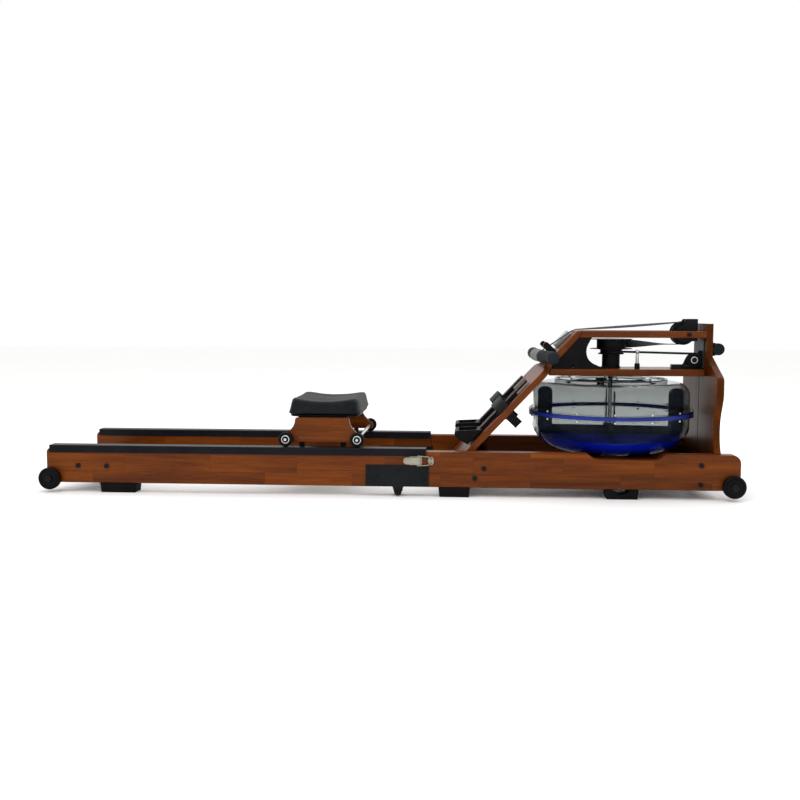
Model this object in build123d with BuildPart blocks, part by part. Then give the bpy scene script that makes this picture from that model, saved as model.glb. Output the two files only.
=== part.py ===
from build123d import *
import math
import os

# Rowing machine with a water tank.  Millimetres, +X towards the tank end, +Z up,
# origin on the floor under the middle of the machine.

# ---- driving dimensions -------------------------------------------------------
rail_outer = 221.0          # outer faces of the rails, each side of the middle
rail_thick = 40.0
rail_bottom = 28.0
rail_height = 104.0
rear_end = -1018.0
front_end = 1025.0
joint_x = 124.0             # where the rear and the front section meet
joint_gap = 0.4             # half of the gap between the two sections

cap_height = 9.0            # running track above the rear rail
cap_skirt = 13.0
cap_wall = 2.2

hinge_x = 39.0
hinge_z = 14.0
hinge_pin_r = 5.0
plate_thick = 3.0
arm_thick = 12.0
fold_clearance = 1.0

board_thick = 18.0
board_angle = 46.8          # the footboard's slope
board_foot_x = 239.2        # where its front face crosses the top of the rails
shelf_top = 369.0
shelf_thick = 20.0
beam_top = 483.6
beam_thick = 20.0
neck_half = 80.0            # half width of the upper structure
panel_x = 951.5             # inner face of the front panel
panel_thick = 19.0
panel_top = 506.0

tank_x = 682.0
tank_r = 238.0
tank_wall = 4.0
tank_floor = 116.0
tank_floor_r = 125.0
ring_r = 250.0
ring_z = 235.0              # middle of the gasket between the tank's two halves
gasket_half = 5.5
flange_thick = 3.6
shoulder_r = 40.0
tank_top = 328.0
tank_mouth_r = 150.0
lid_r = 171.0
lid_thick = 6.0
shaft_r = 6.0
running_fit = 0.05

drum_r = 64.0
spool_r = 39.0
strap_width = 26.0
strap_thick = 2.0
pulley_x = 896.0
pulley_z = 477.0
pulley_r = 36.0
cord_r = 3.5
cord_pulley_x = 924.0
cord_pulley_y = -40.0
cord_pulley_z = 396.5
cord_pulley_r = 21.5

handle_x = 462.5
handle_z = 406.5
handle_length = 400.0
handle_grip_r = 18.8
handle_skew = 4.8           # the handle hangs a little out of square
handle_bend = 4.9           # each grip leans on from the middle band

seat_x = -189.7
seat_wheel_r = 21.5
seat_wheel_span = 213.0
seat_board_y = 179.0        # middle of a seat side board
cushion_bottom = 232.0
cushion_top = 285.0
cushion_length = 234.0
cushion_width = 340.0

wheel_r = 33.0
wheel_width = 20.0
wheel_z = 41.8
rear_wheel_x = -1004.0
front_wheel_x = 1004.0
axle_r = 5.0

foot_v = 100.0              # middle of each footrest, each side of the middle
latch_z = 106.0

# ---- worked out from them -----------------------------------------------------
rail_top = rail_bottom + rail_height
rail_inner = rail_outer - rail_thick
rail_mid = rail_outer - rail_thick / 2
cap_top = rail_top + cap_height
slope = math.radians(board_angle)
wheel_mid = rail_outer + 3.0 + wheel_width / 2
seat_wheel_z = cap_top + seat_wheel_r + 0.3
drum_floor = 411.6

# The footboard's own plane: x up the board, y across the machine, z out of its face.
board_plane = Plane(
    origin=(board_foot_x, 0, rail_top),
    x_dir=(math.cos(slope), 0, math.sin(slope)),
    z_dir=(-math.sin(slope), 0, math.cos(slope)),
)


def up_board(z):
    """Distance up the footboard's face to a height z."""
    return (z - rail_top) / math.sin(slope)


def board_x(z):
    """X of the footboard's face at a height z."""
    return board_foot_x + (z - rail_top) / math.tan(slope)


def across(y):
    """Side-view plane at a place y across the machine: x along it, y up."""
    return Plane.XZ.offset(-y)


def slab_plane(side, inner, thick):
    """Plane whose extrusion of thick fills from inner outwards, on one side of the machine."""
    return across(side * inner + (thick if side > 0 else 0))


def save(part, name):
    part.label = name
    export_step(part, "parts/" + name + ".step")


os.makedirs("parts", exist_ok=True)
sides = (-1, 1)
side_names = {-1: "near", 1: "far"}

# ================================ front section ===============================
front_start = joint_x + joint_gap
cut_floor = 115.0           # bottom of the rails' cut-outs for the tank
cut_start = 582.0
cut_end = 818.0
arm_reach = 62.0            # how far the hinge arm goes into each rail
arm_top = 60.0

# Front rails, scooped on top for the tank, mortised for the hinge arms.
with BuildPart() as front_rails:
    for side in sides:
        with BuildSketch(across(side * rail_mid + rail_thick / 2)):
            with BuildLine():
                start = (front_start, rail_bottom)
                Polyline(start, (front_start, rail_top), (cut_start, rail_top))
                Spline((cut_start, rail_top), (cut_start + 16, 124), (cut_start + 42, cut_floor),
                       tangents=((1, 0), (1, 0)))
                Line((cut_start + 42, cut_floor), (cut_end - 38, cut_floor))
                Spline((cut_end - 38, cut_floor), (cut_end - 16, 124), (cut_end, rail_top),
                       tangents=((1, 0), (1, 0)))
                Line((cut_end, rail_top), (front_end - 25, rail_top))
                RadiusArc((front_end - 25, rail_top), (front_end, rail_top - 25), 25)
                Line((front_end, rail_top - 25), (front_end, rail_bottom + 8))
                RadiusArc((front_end, rail_bottom + 8), (front_end - 8, rail_bottom), 8)
                Line((front_end - 8, rail_bottom), start)
            make_face()
        extrude(amount=rail_thick)
    long_edges = front_rails.edges().filter_by(Axis.X).filter_by(lambda e: e.length > 150)
    fillet(long_edges, radius=2.5)
    # plate relief on both faces at the joint end, and the mortise for the arm
    for side in sides:
        for face in sides:
            with BuildSketch(Plane.XY.offset(rail_bottom - 1)):
                with Locations((front_start + 2.7, side * rail_mid + face * rail_thick / 2)):
                    Rectangle(7.0, 0.8)
            extrude(amount=68, mode=Mode.SUBTRACT)
        with BuildSketch(across(side * rail_mid + arm_thick / 2)):
            with Locations((front_start + arm_reach / 2 - 1, (rail_bottom + arm_top) / 2 - 1)):
                Rectangle(arm_reach + 2, arm_top - rail_bottom + 2)
        extrude(amount=arm_thick, mode=Mode.SUBTRACT)
save(front_rails.part, "front_rails")

# Steel hinge arms, fixed in the front rails, reaching back under the rear ones.
with BuildPart() as hinge_arms:
    for side in sides:
        with BuildSketch(across(side * rail_mid + arm_thick / 2)):
            with BuildLine():
                Polyline(
                    (hinge_x, hinge_z),
                    (hinge_x + 10, hinge_z),
                    (hinge_x + 13, rail_bottom),
                    (front_start + arm_reach - 1, rail_bottom),
                    (front_start + arm_reach - 1, arm_top),
                    (hinge_x + 8, arm_top),
                    (hinge_x, arm_top - 8),
                    close=True,
                )
            make_face()
            with Locations((hinge_x, hinge_z)):
                Circle(10.5)
                Circle(hinge_pin_r + running_fit, mode=Mode.SUBTRACT)
        extrude(amount=arm_thick)
save(hinge_arms.part, "hinge_arms")

# Footboard: wide between the rails, curved shoulders, a narrow neck to the top beams.
shoulder_low = up_board(352)
shoulder_high = up_board(398)
board_low = up_board(58)
board_high = up_board(beam_top)
wide = rail_inner - 0.3
with BuildPart() as footboard:
    with BuildSketch(board_plane):
        for side in sides:
            with BuildLine():
                Line((board_low, 0), (board_low, side * wide))
                Line((board_low, side * wide), (shoulder_low, side * wide))
                Spline((shoulder_low, side * wide), (shoulder_high, side * neck_half),
                       tangents=((1, 0), (1, 0)))
                Line((shoulder_high, side * neck_half), (board_high + 30, side * neck_half))
                Line((board_high + 30, side * neck_half), (board_high + 30, 0))
                Line((board_high + 30, 0), (board_low, 0))
            make_face()
    extrude(amount=-board_thick)
    split(bisect_by=Plane.XY.offset(beam_top), keep=Keep.BOTTOM)
    # mitre where the neck meets the top beams
    with BuildSketch(across(neck_half + 1)):
        with BuildLine():
            Polyline(
                (board_x(beam_top) + 16.0, beam_top + 1),
                (board_x(beam_top) + 16.0, beam_top),
                (board_x(beam_top - beam_thick) + 24.0, beam_top - beam_thick),
                (board_x(beam_top) + 40.0, beam_top - beam_thick),
                (board_x(beam_top) + 40.0, beam_top + 1),
                close=True,
            )
        make_face()
    extrude(amount=2 * neck_half + 2, mode=Mode.SUBTRACT)
    front_edges = footboard.edges().filter_by(lambda e: e.length > 60).filter_by(
        lambda e: abs((e.center() - board_plane.origin).dot(board_plane.z_dir)) < 0.01)
    fillet(front_edges.filter_by(Axis(board_plane.origin, board_plane.x_dir)), radius=2.0)
    # slots that the foot straps pass through
    with BuildSketch(board_plane):
        for side in sides:
            for edge in sides:
                with Locations((up_board(250), side * foot_v + edge * 52)):
                    Rectangle(44, 7)
    extrude(amount=-board_thick, mode=Mode.SUBTRACT)
save(footboard.part, "footboard")

# Boards that tie the rails together and carry the tank.
with BuildPart() as cross_boards:
    with BuildSketch(across(rail_inner - 0.2)):
        with Locations(Location((277, 70.5), board_angle)):
            Rectangle(78, 18)
        with Locations((913, 79)):
            Rectangle(18, 94)
        for x in (tank_x - 75, tank_x + 75):
            with Locations((x, tank_floor - 10.2)):
                Rectangle(60, 20)
    extrude(amount=2 * rail_inner - 0.4)
save(cross_boards.part, "cross_boards")

# Shelf above the tank, with the shaft's hole.
with BuildPart() as shelf:
    with BuildSketch(Plane.XY.offset(shelf_top)):
        shelf_start = board_x(shelf_top) + board_thick / math.sin(slope) + 0.3
        with Locations(((shelf_start + panel_x) / 2, 0)):
            RectangleRounded(panel_x - shelf_start, 2 * neck_half, 6)
        with Locations((tank_x, 0)):
            Circle(11, mode=Mode.SUBTRACT)
    extrude(amount=-shelf_thick)
    fillet(shelf.edges().filter_by(Axis.X), radius=1.8)
save(shelf.part, "shelf")

# Two beams along the top, mitred to the footboard's neck.
with BuildPart() as top_beams:
    for side in sides:
        with BuildSketch(slab_plane(side, neck_half - board_thick, board_thick)):
            with BuildLine():
                Polyline(
                    (board_x(beam_top) + 16.4, beam_top),
                    (panel_x - 0.1, beam_top),
                    (panel_x - 0.1, beam_top - beam_thick),
                    (board_x(beam_top - beam_thick) + 25.2, beam_top - beam_thick),
                    close=True,
                )
            make_face()
        extrude(amount=board_thick)
    fillet(top_beams.edges().filter_by(Axis.X), radius=1.8)
save(top_beams.part, "top_beams")

# Front panel: two upright boards with a waisted outline and a gap between them.
panel_gap = 3.0
with BuildPart() as front_panel:
    for side in sides:
        with BuildSketch(Plane.YZ.offset(panel_x)):
            with BuildLine():
                Polyline((side * 205, 356), (side * (neck_half - 1), 408),
                         (side * (neck_half - 1), panel_top),
                         (side * panel_gap, panel_top), (side * panel_gap, 36),
                         (side * wide, 36), (side * wide, rail_top + 0.3),
                         (side * 206, rail_top + 0.3))
                Spline(
                    (side * 206, rail_top + 0.3),
                    (side * 190, 168),
                    (side * 189, 225),
                    (side * 203, 262),
                    (side * 219, 300),
                    (side * 218, 338),
                    (side * 205, 356),
                    tangents=((-side * 0.7, 1), (-side * 0.92, 0.39)),
                )
            make_face()
        extrude(amount=panel_thick)
save(front_panel.part, "front_panel")

# Black steel cheeks between the shelf, the neck and the beams.
with BuildPart() as cheek_plates:
    cheek_back = board_x(400) + board_thick / math.sin(slope) + 1.0
    cheek_tip = board_x(beam_top - beam_thick) + board_thick / math.sin(slope) + 2.5
    for side in sides:
        with BuildSketch(slab_plane(side, neck_half - plate_thick - 0.6, plate_thick)):
            with BuildLine():
                Polyline((658, shelf_top), (cheek_back - 24, shelf_top), (cheek_back, 401),
                         (cheek_tip, beam_top - beam_thick), (613, beam_top - beam_thick))
                Spline((613, beam_top - beam_thick), (598, 430), (602, 402), (618, 386),
                       (638, 377), (658, shelf_top), tangents=((-0.5, -1), (1, -0.35)))
            make_face()
            for hole_x, hole_r in ((540, 2.2), (558, 4.2), (577, 2.2)):
                with Locations((hole_x, shelf_top + 9)):
                    Circle(hole_r, mode=Mode.SUBTRACT)
        extrude(amount=plate_thick)
save(cheek_plates.part, "cheek_plates")

# ---- water tank: two clear shells, gasket, lid, fasteners, plug -----------------
ring_low = ring_z - gasket_half
ring_high = ring_z + gasket_half


def bowl_point(inset, turn):
    """Point on the tank's curved floor, turn from 0 at the flat floor to 90 at the wall."""
    reach = tank_r - tank_floor_r - inset
    rise = 84.0 - inset
    angle = math.radians(turn)
    return (tank_floor_r + reach * math.sin(angle),
            tank_floor + 84.0 - rise * math.cos(angle))


tank_axis_plane = Plane(origin=(tank_x, 0, 0), x_dir=(1, 0, 0), z_dir=(0, -1, 0))
with BuildPart() as tank_lower_shell:
    with BuildSketch(tank_axis_plane):
        with BuildLine():
            Polyline((0, tank_floor + tank_wall), (0, tank_floor), bowl_point(0, 0))
            Spline(*[bowl_point(0, turn) for turn in (0, 22, 45, 68, 90)],
                   tangents=((1, 0), (0, 1)))
            Polyline(bowl_point(0, 90), (tank_r, ring_low - flange_thick),
                     (ring_r, ring_low - flange_thick), (ring_r, ring_low),
                     (tank_r - tank_wall, ring_low), bowl_point(tank_wall, 90))
            Spline(*[bowl_point(tank_wall, turn) for turn in (90, 68, 45, 22, 0)],
                   tangents=((0, -1), (-1, 0)))
            Line(bowl_point(tank_wall, 0), (0, tank_floor + tank_wall))
        make_face()
    revolve(axis=Axis((tank_x, 0, 0), (0, 0, 1)))
    with BuildSketch(Plane.XY.offset(tank_floor + 1)):
        with Locations((tank_x, 0)):
            Circle(15)
    extrude(amount=16)
    with BuildSketch(Plane.XY.offset(tank_floor + 6)):
        with Locations((tank_x, 0)):
            Circle(shaft_r + running_fit)
    extrude(amount=20, mode=Mode.SUBTRACT)
save(tank_lower_shell.part, "tank_lower_shell")

with BuildPart() as tank_upper_shell:
    with BuildSketch(tank_axis_plane):
        inner_r = tank_r - tank_wall
        inner_top = tank_top - tank_wall
        with BuildLine():
            Polyline((ring_r, ring_high), (ring_r, ring_high + flange_thick),
                     (tank_r, ring_high + flange_thick), (tank_r, tank_top - shoulder_r))
            RadiusArc((tank_r, tank_top - shoulder_r), (tank_r - shoulder_r, tank_top), -shoulder_r)
            Polyline((tank_r - shoulder_r, tank_top), (tank_mouth_r, tank_top),
                     (tank_mouth_r, inner_top), (tank_r - shoulder_r, inner_top))
            RadiusArc((tank_r - shoulder_r, inner_top), (inner_r, tank_top - shoulder_r),
                      shoulder_r - tank_wall)
            Polyline((inner_r, tank_top - shoulder_r), (inner_r, ring_high), (ring_r, ring_high))
        make_face()
    revolve(axis=Axis((tank_x, 0, 0), (0, 0, 1)))
save(tank_upper_shell.part, "tank_upper_shell")

with BuildPart() as tank_gasket:
    with BuildSketch(Plane.XY.offset(ring_low)):
        with Locations((tank_x, 0)):
            Circle(ring_r - 1)
            Circle(tank_r - tank_wall, mode=Mode.SUBTRACT)
    extrude(amount=2 * gasket_half)
save(tank_gasket.part, "tank_gasket")

# Lid: a shallow turned cover with a boss for the shaft and a rim bead.
lid_top = tank_top + lid_thick
with BuildPart() as tank_lid:
    with BuildSketch(tank_axis_plane):
        with BuildLine():
            Polyline((shaft_r + running_fit, tank_top + 16), (shaft_r + running_fit, tank_top - 10),
                     (20, tank_top - 10), (24, tank_top + 0.2), (lid_r, tank_top + 0.2),
                     (lid_r, lid_top + 4), (lid_r - 5, lid_top + 4), (lid_r - 7, lid_top),
                     (124, lid_top), (120, lid_top + 5), (112, lid_top + 5), (108, lid_top),
                     (24, lid_top), (18, tank_top + 16), close=True)
        make_face()
    revolve(axis=Axis((tank_x, 0, 0), (0, 0, 1)))
    with BuildSketch(Plane.XY.offset(tank_top - 1)):
        with Locations((tank_x - 38, -70)):
            Circle(11.1)
    extrude(amount=12, mode=Mode.SUBTRACT)
save(tank_lid.part, "tank_lid")

# Screws round the tank's ring and round the lid.
ring_screws = 14
lid_screws = 12
with BuildPart() as tank_clips:
    with BuildSketch(Plane.XY.offset(ring_high + flange_thick)):
        with Locations((tank_x, 0)):
            with PolarLocations((tank_r + ring_r) / 2 + 0.1, ring_screws, start_angle=8):
                Circle(3.6)
    extrude(amount=4.0)
    with BuildSketch(Plane.XY.offset(ring_low - flange_thick)):
        with Locations((tank_x, 0)):
            with PolarLocations((tank_r + ring_r) / 2 + 0.1, ring_screws, start_angle=8):
                Circle(3.4)
    extrude(amount=-5.0)
    with BuildSketch(Plane.XY.offset(lid_top)):
        with Locations((tank_x, 0)):
            with PolarLocations(lid_r - 12, lid_screws, start_angle=15):
                Circle(3.6)
    extrude(amount=3.0)
save(tank_clips.part, "tank_clips")

with BuildPart() as fill_plug:
    with BuildSketch(Plane.XY.offset(tank_top - 4)):
        with Locations((tank_x - 38, -70)):
            Circle(11.0)
    extrude(amount=12)
    with BuildSketch(Plane.XY.offset(lid_top)):
        with Locations((tank_x - 38, -70)):
            Circle(17.0)
    extrude(amount=8)
    chamfer(fill_plug.faces().sort_by(Axis.Z)[-1].edges(), length=2)
save(fill_plug.part, "fill_plug")

# ---- impeller: shaft, and four paddles on low arms -----------------------------
with BuildPart() as impeller_shaft:
    with BuildSketch(Plane.XY.offset(tank_floor + 6.5)):
        with Locations((tank_x, 0)):
            Circle(shaft_r)
    extrude(amount=drum_floor + 20 - tank_floor - 6.5)
save(impeller_shaft.part, "impeller_shaft")

paddle_in = 176.0
paddle_out = 221.0
arm_low = 134.0
arm_high = 192.0
paddle_top = 311.0
with BuildPart() as impeller_blades:
    for turn in (-5, 85, 175, 265):
        ray = Plane(origin=(tank_x, 0, 0), z_dir=(0, 0, 1)).rotated((0, 0, turn))
        blade = Plane(origin=ray.origin + ray.y_dir * 2.0, x_dir=ray.x_dir, z_dir=-ray.y_dir)
        with BuildSketch(blade):
            with BuildLine():
                Polyline((8, arm_high), (8, arm_low), (150, arm_low))
                Spline((150, arm_low), (196, 148), (paddle_out, 186), tangents=((1, 0), (0, 1)))
                Line((paddle_out, 186), (paddle_out, paddle_top - 20))
                RadiusArc((paddle_out, paddle_top - 20), (paddle_out - 20, paddle_top), -20)
                Line((paddle_out - 20, paddle_top), (paddle_in + 20, paddle_top))
                RadiusArc((paddle_in + 20, paddle_top), (paddle_in, paddle_top - 20), -20)
                Polyline((paddle_in, paddle_top - 20), (paddle_in, arm_high), (8, arm_high))
            make_face()
        extrude(amount=4.0)
    with BuildSketch(Plane.XY.offset(arm_low)):
        with Locations((tank_x, 0)):
            Circle(20)
    extrude(amount=arm_high - arm_low + 8)
    with BuildSketch(Plane.XY.offset(arm_low - 1)):
        with Locations((tank_x, 0)):
            Circle(shaft_r)
    extrude(amount=arm_high - arm_low + 12, mode=Mode.SUBTRACT)
save(impeller_blades.part, "impeller_blades")

# ---- strap drum, its housing, and the cord spool --------------------------------
drum_top = 458.5
spool_top = 429.5
with BuildPart() as drum_housing:
    with BuildSketch(Plane.XY.offset(shelf_top)):
        with Locations((tank_x, 0)):
            with PolarLocations(0, 2, start_angle=45):
                SlotOverall(78, 22)
            Circle(29)
    extrude(amount=5)
    with BuildSketch(Plane.XY.offset(shelf_top)):
        with Locations((tank_x, 0)):
            Circle(27)
    extrude(amount=drum_floor - 0.6 - shelf_top)
    with BuildSketch(Plane.XY.offset(shelf_top - 1)):
        with Locations((tank_x, 0)):
            Circle(15 + running_fit)
    extrude(amount=60, mode=Mode.SUBTRACT)
save(drum_housing.part, "drum_housing")

with BuildPart() as strap_drum:
    with BuildSketch(tank_axis_plane):
        with BuildLine():
            Polyline((shaft_r + running_fit, drum_top - 6), (shaft_r + running_fit, shelf_top + 2),
                     (15, shelf_top + 2), (15, drum_floor), (spool_r, drum_floor),
                     (spool_r, drum_floor + 3), (spool_r - 6, drum_floor + 5),
                     (spool_r - 6, spool_top - 5), (spool_r, spool_top - 3),
                     (spool_r, spool_top - 1.5), (drum_r, spool_top - 1.5), (drum_r, spool_top),
                     (44, spool_top + 0.3), (44, drum_top - 1.9), (drum_r, drum_top - 1.6),
                     (drum_r, drum_top), (20, drum_top), (14, drum_top - 6), close=True)
        make_face()
    revolve(axis=Axis((tank_x, 0, 0), (0, 0, 1)))
save(strap_drum.part, "strap_drum")

# Guide post with a ball nut.
post_x = 754.0
post_y = -47.5
with BuildPart() as guide_post:
    with BuildSketch(Plane.XY.offset(shelf_top)):
        with Locations((post_x, post_y)):
            Circle(8)
    extrude(amount=17)
    with BuildSketch(Plane.XY.offset(shelf_top)):
        with Locations((post_x, post_y)):
            Circle(5.0)
    extrude(amount=49)
    with Locations((post_x, post_y, shelf_top + 52)):
        Sphere(6.0)
save(guide_post.part, "guide_post")

# ---- strap pulley, its fork, and the strap -------------------------------------
with BuildPart() as strap_pulley:
    with BuildSketch(across(17)):
        with Locations((pulley_x, pulley_z)):
            Circle(pulley_r)
            Circle(axle_r + running_fit, mode=Mode.SUBTRACT)
    extrude(amount=34)
    groove = Plane(origin=(pulley_x, 0, pulley_z), x_dir=(0, 1, 0), z_dir=(1, 0, 0))
    with BuildSketch(groove):
        with Locations((0, pulley_r - 1.2)):
            Rectangle(strap_width + 1.6, 4.0)
    revolve(axis=Axis((pulley_x, 0, pulley_z), (0, 1, 0)), mode=Mode.SUBTRACT)
save(strap_pulley.part, "strap_pulley")

with BuildPart() as strap_pulley_bracket:
    fork_right = 934.0
    for side in sides:
        with BuildSketch(slab_plane(side, 18, 4)):
            with BuildLine():
                Polyline((pulley_x + 6, pulley_z - 26), (fork_right + 4, pulley_z - 24),
                         (fork_right + 4, 520), (905, 520))
                Spline((905, 520), (897, 511), (pulley_x - 10, pulley_z + 22), tangents=((-1, 0), (-1, 0)))
                ThreePointArc((pulley_x - 10, pulley_z + 22), (pulley_x - 24, pulley_z),
                              (pulley_x + 6, pulley_z - 26))
            make_face()
        extrude(amount=4)
    with BuildSketch(across(22)):
        with Locations((922, 518.4)):
            Rectangle(26, 3.6)
    extrude(amount=44)
    with BuildSketch(across(neck_half - board_thick)):
        with Locations((pulley_x, pulley_z)):
            Circle(axle_r)
    extrude(amount=2 * (neck_half - board_thick))
    with BuildSketch(across(neck_half - board_thick - 0.2)):
        with Locations((fork_right + 9, pulley_z - 3)):
            Rectangle(10, 18)
    extrude(amount=2 * (neck_half - board_thick) - 0.4)
save(strap_pulley_bracket.part, "strap_pulley_bracket")

# Pull strap: from the drum, twisting flat, round the pulley, and back to the neck.
strap_r = pulley_r - 3.2 + 0.4 + strap_thick / 2
strap_edge_x = board_x(beam_top) - 1.5
strap_edge_z = beam_top + 3.2
drum_leave_y = 44.0 + strap_thick / 2 + 0.2
with BuildPart() as pull_strap:
    with BuildSketch(across(strap_width / 2)):
        with BuildLine():
            Line((pulley_x - 40, pulley_z - strap_r), (pulley_x, pulley_z - strap_r))
            ThreePointArc((pulley_x, pulley_z - strap_r), (pulley_x + strap_r, pulley_z),
                          (pulley_x, pulley_z + strap_r))
            Line((pulley_x, pulley_z + strap_r), (strap_edge_x, strap_edge_z))
        trace(line_width=strap_thick)
    extrude(amount=strap_width)
    twist_steps = 6
    for step in range(twist_steps + 1):
        share = step / twist_steps
        start = Vector(tank_x + 14, drum_leave_y, (spool_top + drum_top) / 2 - 0.6)
        end = Vector(pulley_x - 39.9, 0, pulley_z - strap_r)
        here = start + (end - start) * share
        with BuildSketch(Plane(origin=here, x_dir=(0, 1, 0), z_dir=(1, 0, 0)).rotated((90 * share, 0, 0))):
            Rectangle(strap_thick, strap_width)
    loft()
save(pull_strap.part, "pull_strap")

# ---- shock cord, its pulley and bracket ----------------------------------------
cord_ride = cord_pulley_r - 2.5
anchor_x = 868.0
with BuildPart() as bungee_pulley:
    with BuildSketch(across(cord_pulley_y + 6)):
        with Locations((cord_pulley_x, cord_pulley_z)):
            Circle(cord_pulley_r)
            Circle(axle_r + running_fit, mode=Mode.SUBTRACT)
    extrude(amount=12)
    groove = Plane(origin=(cord_pulley_x, cord_pulley_y, cord_pulley_z), x_dir=(0, 1, 0), z_dir=(1, 0, 0))
    with BuildSketch(groove):
        with Locations((0, cord_ride + 0.3)):
            Circle(cord_r + 1.0)
        with Locations((0, cord_ride + 4)):
            Rectangle(2 * cord_r + 2, 8)
    revolve(axis=Axis((cord_pulley_x, cord_pulley_y, cord_pulley_z), (0, 1, 0)), mode=Mode.SUBTRACT)
save(bungee_pulley.part, "bungee_pulley")

with BuildPart() as bungee_pulley_bracket:
    with BuildSketch(across(cord_pulley_y + 10.6)):
        with BuildLine():
            Polyline((895, 386), (886, 378), (868, 375.5), (868, shelf_top),
                     (panel_x - 3.4, shelf_top), (panel_x - 3.4, 424), (940, 426))
            Spline((940, 426), (930, 415.6), (915, 415.6), (903, 404), (895, 386))
        make_face()
        with Locations((cord_pulley_x, cord_pulley_z)):
            Circle(12, mode=Mode.SUBTRACT)
    extrude(amount=4)
    # block on the shelf that the cord ends in
    with BuildSketch(Plane.XY.offset(shelf_top)):
        with Locations((anchor_x + 5, cord_pulley_y + 3.6)):
            RectangleRounded(32, 22, 3)
    extrude(amount=14)
    with BuildSketch(across(cord_pulley_y + 10.6)):
        with Locations((cord_pulley_x, cord_pulley_z)):
            Circle(axle_r)
    extrude(amount=20.0)
    with BuildSketch(across(cord_pulley_y - 6.4)):
        with Locations((cord_pulley_x, cord_pulley_z)):
            Circle(10.5)
    extrude(amount=3)
    with BuildSketch(across(cord_pulley_y + 10.6)):
        with Locations((cord_pulley_x, cord_pulley_z)):
            Circle(12.0)
    extrude(amount=4)
save(bungee_pulley_bracket.part, "bungee_pulley_bracket")

# Grey steel plate that backs the pulleys on the front panel.
with BuildPart() as panel_plate:
    with BuildSketch(Plane.YZ.offset(panel_x - 3.2)):
        with Locations((0, (shelf_top + beam_top) / 2 - 6)):
            RectangleRounded(2 * neck_half - 46, beam_top - shelf_top - 16, 5)
    extrude(amount=3.0)
save(panel_plate.part, "panel_plate")

# The cord runs from the spool to its pulley, round it, and back to the anchor block.
spool_leave_y = -(spool_r - 6 + cord_r + 0.2)
cord_z = cord_pulley_z + cord_ride + 0.4
with BuildPart() as bungee_cord:
    with BuildLine() as cord_route:
        FilletPolyline(
            (tank_x + 2, spool_leave_y, 421),
            (cord_pulley_x + cord_ride + 0.4, cord_pulley_y, cord_z),
            (cord_pulley_x + cord_ride + 0.4, cord_pulley_y, cord_pulley_z - cord_ride - 0.2),
            (anchor_x + 21.2, cord_pulley_y, shelf_top + 8),
            radius=cord_ride + 0.1,
        )
    with BuildSketch(Plane(origin=cord_route.line @ 0, z_dir=cord_route.line % 0)):
        Circle(cord_r)
    sweep(path=cord_route.line)
save(bungee_cord.part, "bungee_cord")

# ---- pegs that hold the handle, monitor, stand bumper ---------------------------
handle_u = (handle_x - board_foot_x) * math.cos(slope) + (handle_z - rail_top) * math.sin(slope)
peg_u = handle_u + handle_grip_r + 17
with BuildPart() as handle_pegs:
    for side in sides:
        outer = side * 58 + 9
        with BuildSketch(across(outer)):
            lift = board_plane.from_local_coords(Vector(peg_u, 0, 22.5))
            with Locations(Location((lift.X, lift.Z), board_angle)):
                RectangleRounded(17, 44.6, 6)
        extrude(amount=18)
save(handle_pegs.part, "handle_pegs")

monitor_u = up_board(452)
with BuildPart() as monitor:
    with BuildSketch(board_plane.offset(0.2)):
        with Locations((monitor_u, 46)):
            RectangleRounded(62, 48, 6)
    extrude(amount=15)
    face_edges = monitor.edges().filter_by(
        lambda e: (e.center() - board_plane.origin).dot(board_plane.z_dir) > 14)
    fillet(face_edges, radius=5)
save(monitor.part, "monitor")

bumper_x = panel_x + panel_thick + 18.4
bumper_z = 430.0
bumper_r = 18.0
with BuildPart() as stand_bumper:
    with BuildSketch(across(neck_half - 5)):
        with Locations((bumper_x, bumper_z)):
            Circle(bumper_r)
    extrude(amount=2 * neck_half - 10)
    fillet(stand_bumper.edges().filter_by(GeomType.CIRCLE), radius=3)
    for side in sides:
        outer = side * 50 + 12
        with BuildSketch(across(outer)):
            with BuildLine():
                back = panel_x + panel_thick
                Polyline((back, 408), (back, 456))
                Spline((back, 456), (back + 6, 449.5), (bumper_x, bumper_z + bumper_r - 1),
                       tangents=((0, -1), (1, 0)))
                Line((bumper_x, bumper_z + bumper_r - 1), (bumper_x, bumper_z - bumper_r + 1))
                Line((bumper_x, bumper_z - bumper_r + 1), (back, 408))
            make_face()
        extrude(amount=24)
save(stand_bumper.part, "stand_bumper")

# ---- feet ----------------------------------------------------------------------
foot_depth = rail_thick + 6


def foot_profile(low_x, high_x, notch_r):
    """Side outline of a rubber foot, tapered to the floor, with an optional round notch."""
    with BuildSketch() as outline:
        with BuildLine():
            Polyline((low_x, rail_bottom), (low_x + 3, 0), (high_x - 3, 0), (high_x, rail_bottom),
                     close=True)
        make_face()
        fillet(outline.vertices().group_by(Axis.Y)[0], radius=4)
        if notch_r:
            with Locations(((low_x + high_x) / 2, rail_bottom + notch_r - 15)):
                Circle(notch_r, mode=Mode.SUBTRACT)
    return outline.sketch_local


with BuildPart() as front_feet:
    for side in sides:
        with BuildSketch(across(side * rail_mid + foot_depth / 2)):
            add(foot_profile(158, 250, 0))
            add(foot_profile(641, 736, 30))
        extrude(amount=foot_depth)
save(front_feet.part, "front_feet")

with BuildPart() as rear_feet:
    for side in sides:
        with BuildSketch(across(side * rail_mid + foot_depth / 2)):
            add(foot_profile(-854, -743, 0))
        extrude(amount=foot_depth)
save(rear_feet.part, "rear_feet")

# ---- screws and axle bolts -------------------------------------------------------
bolt_head_r = 7.0
bolt_head = 4.2


def cylinder_y(side, start, height, x, z, radius):
    """Disc or rod along Y, from a place on one side of the machine outwards."""
    with BuildPart() as rod:
        with BuildSketch(slab_plane(side, start, height)):
            with Locations((x, z)):
                Circle(radius)
        extrude(amount=height)
    return rod.part


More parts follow.
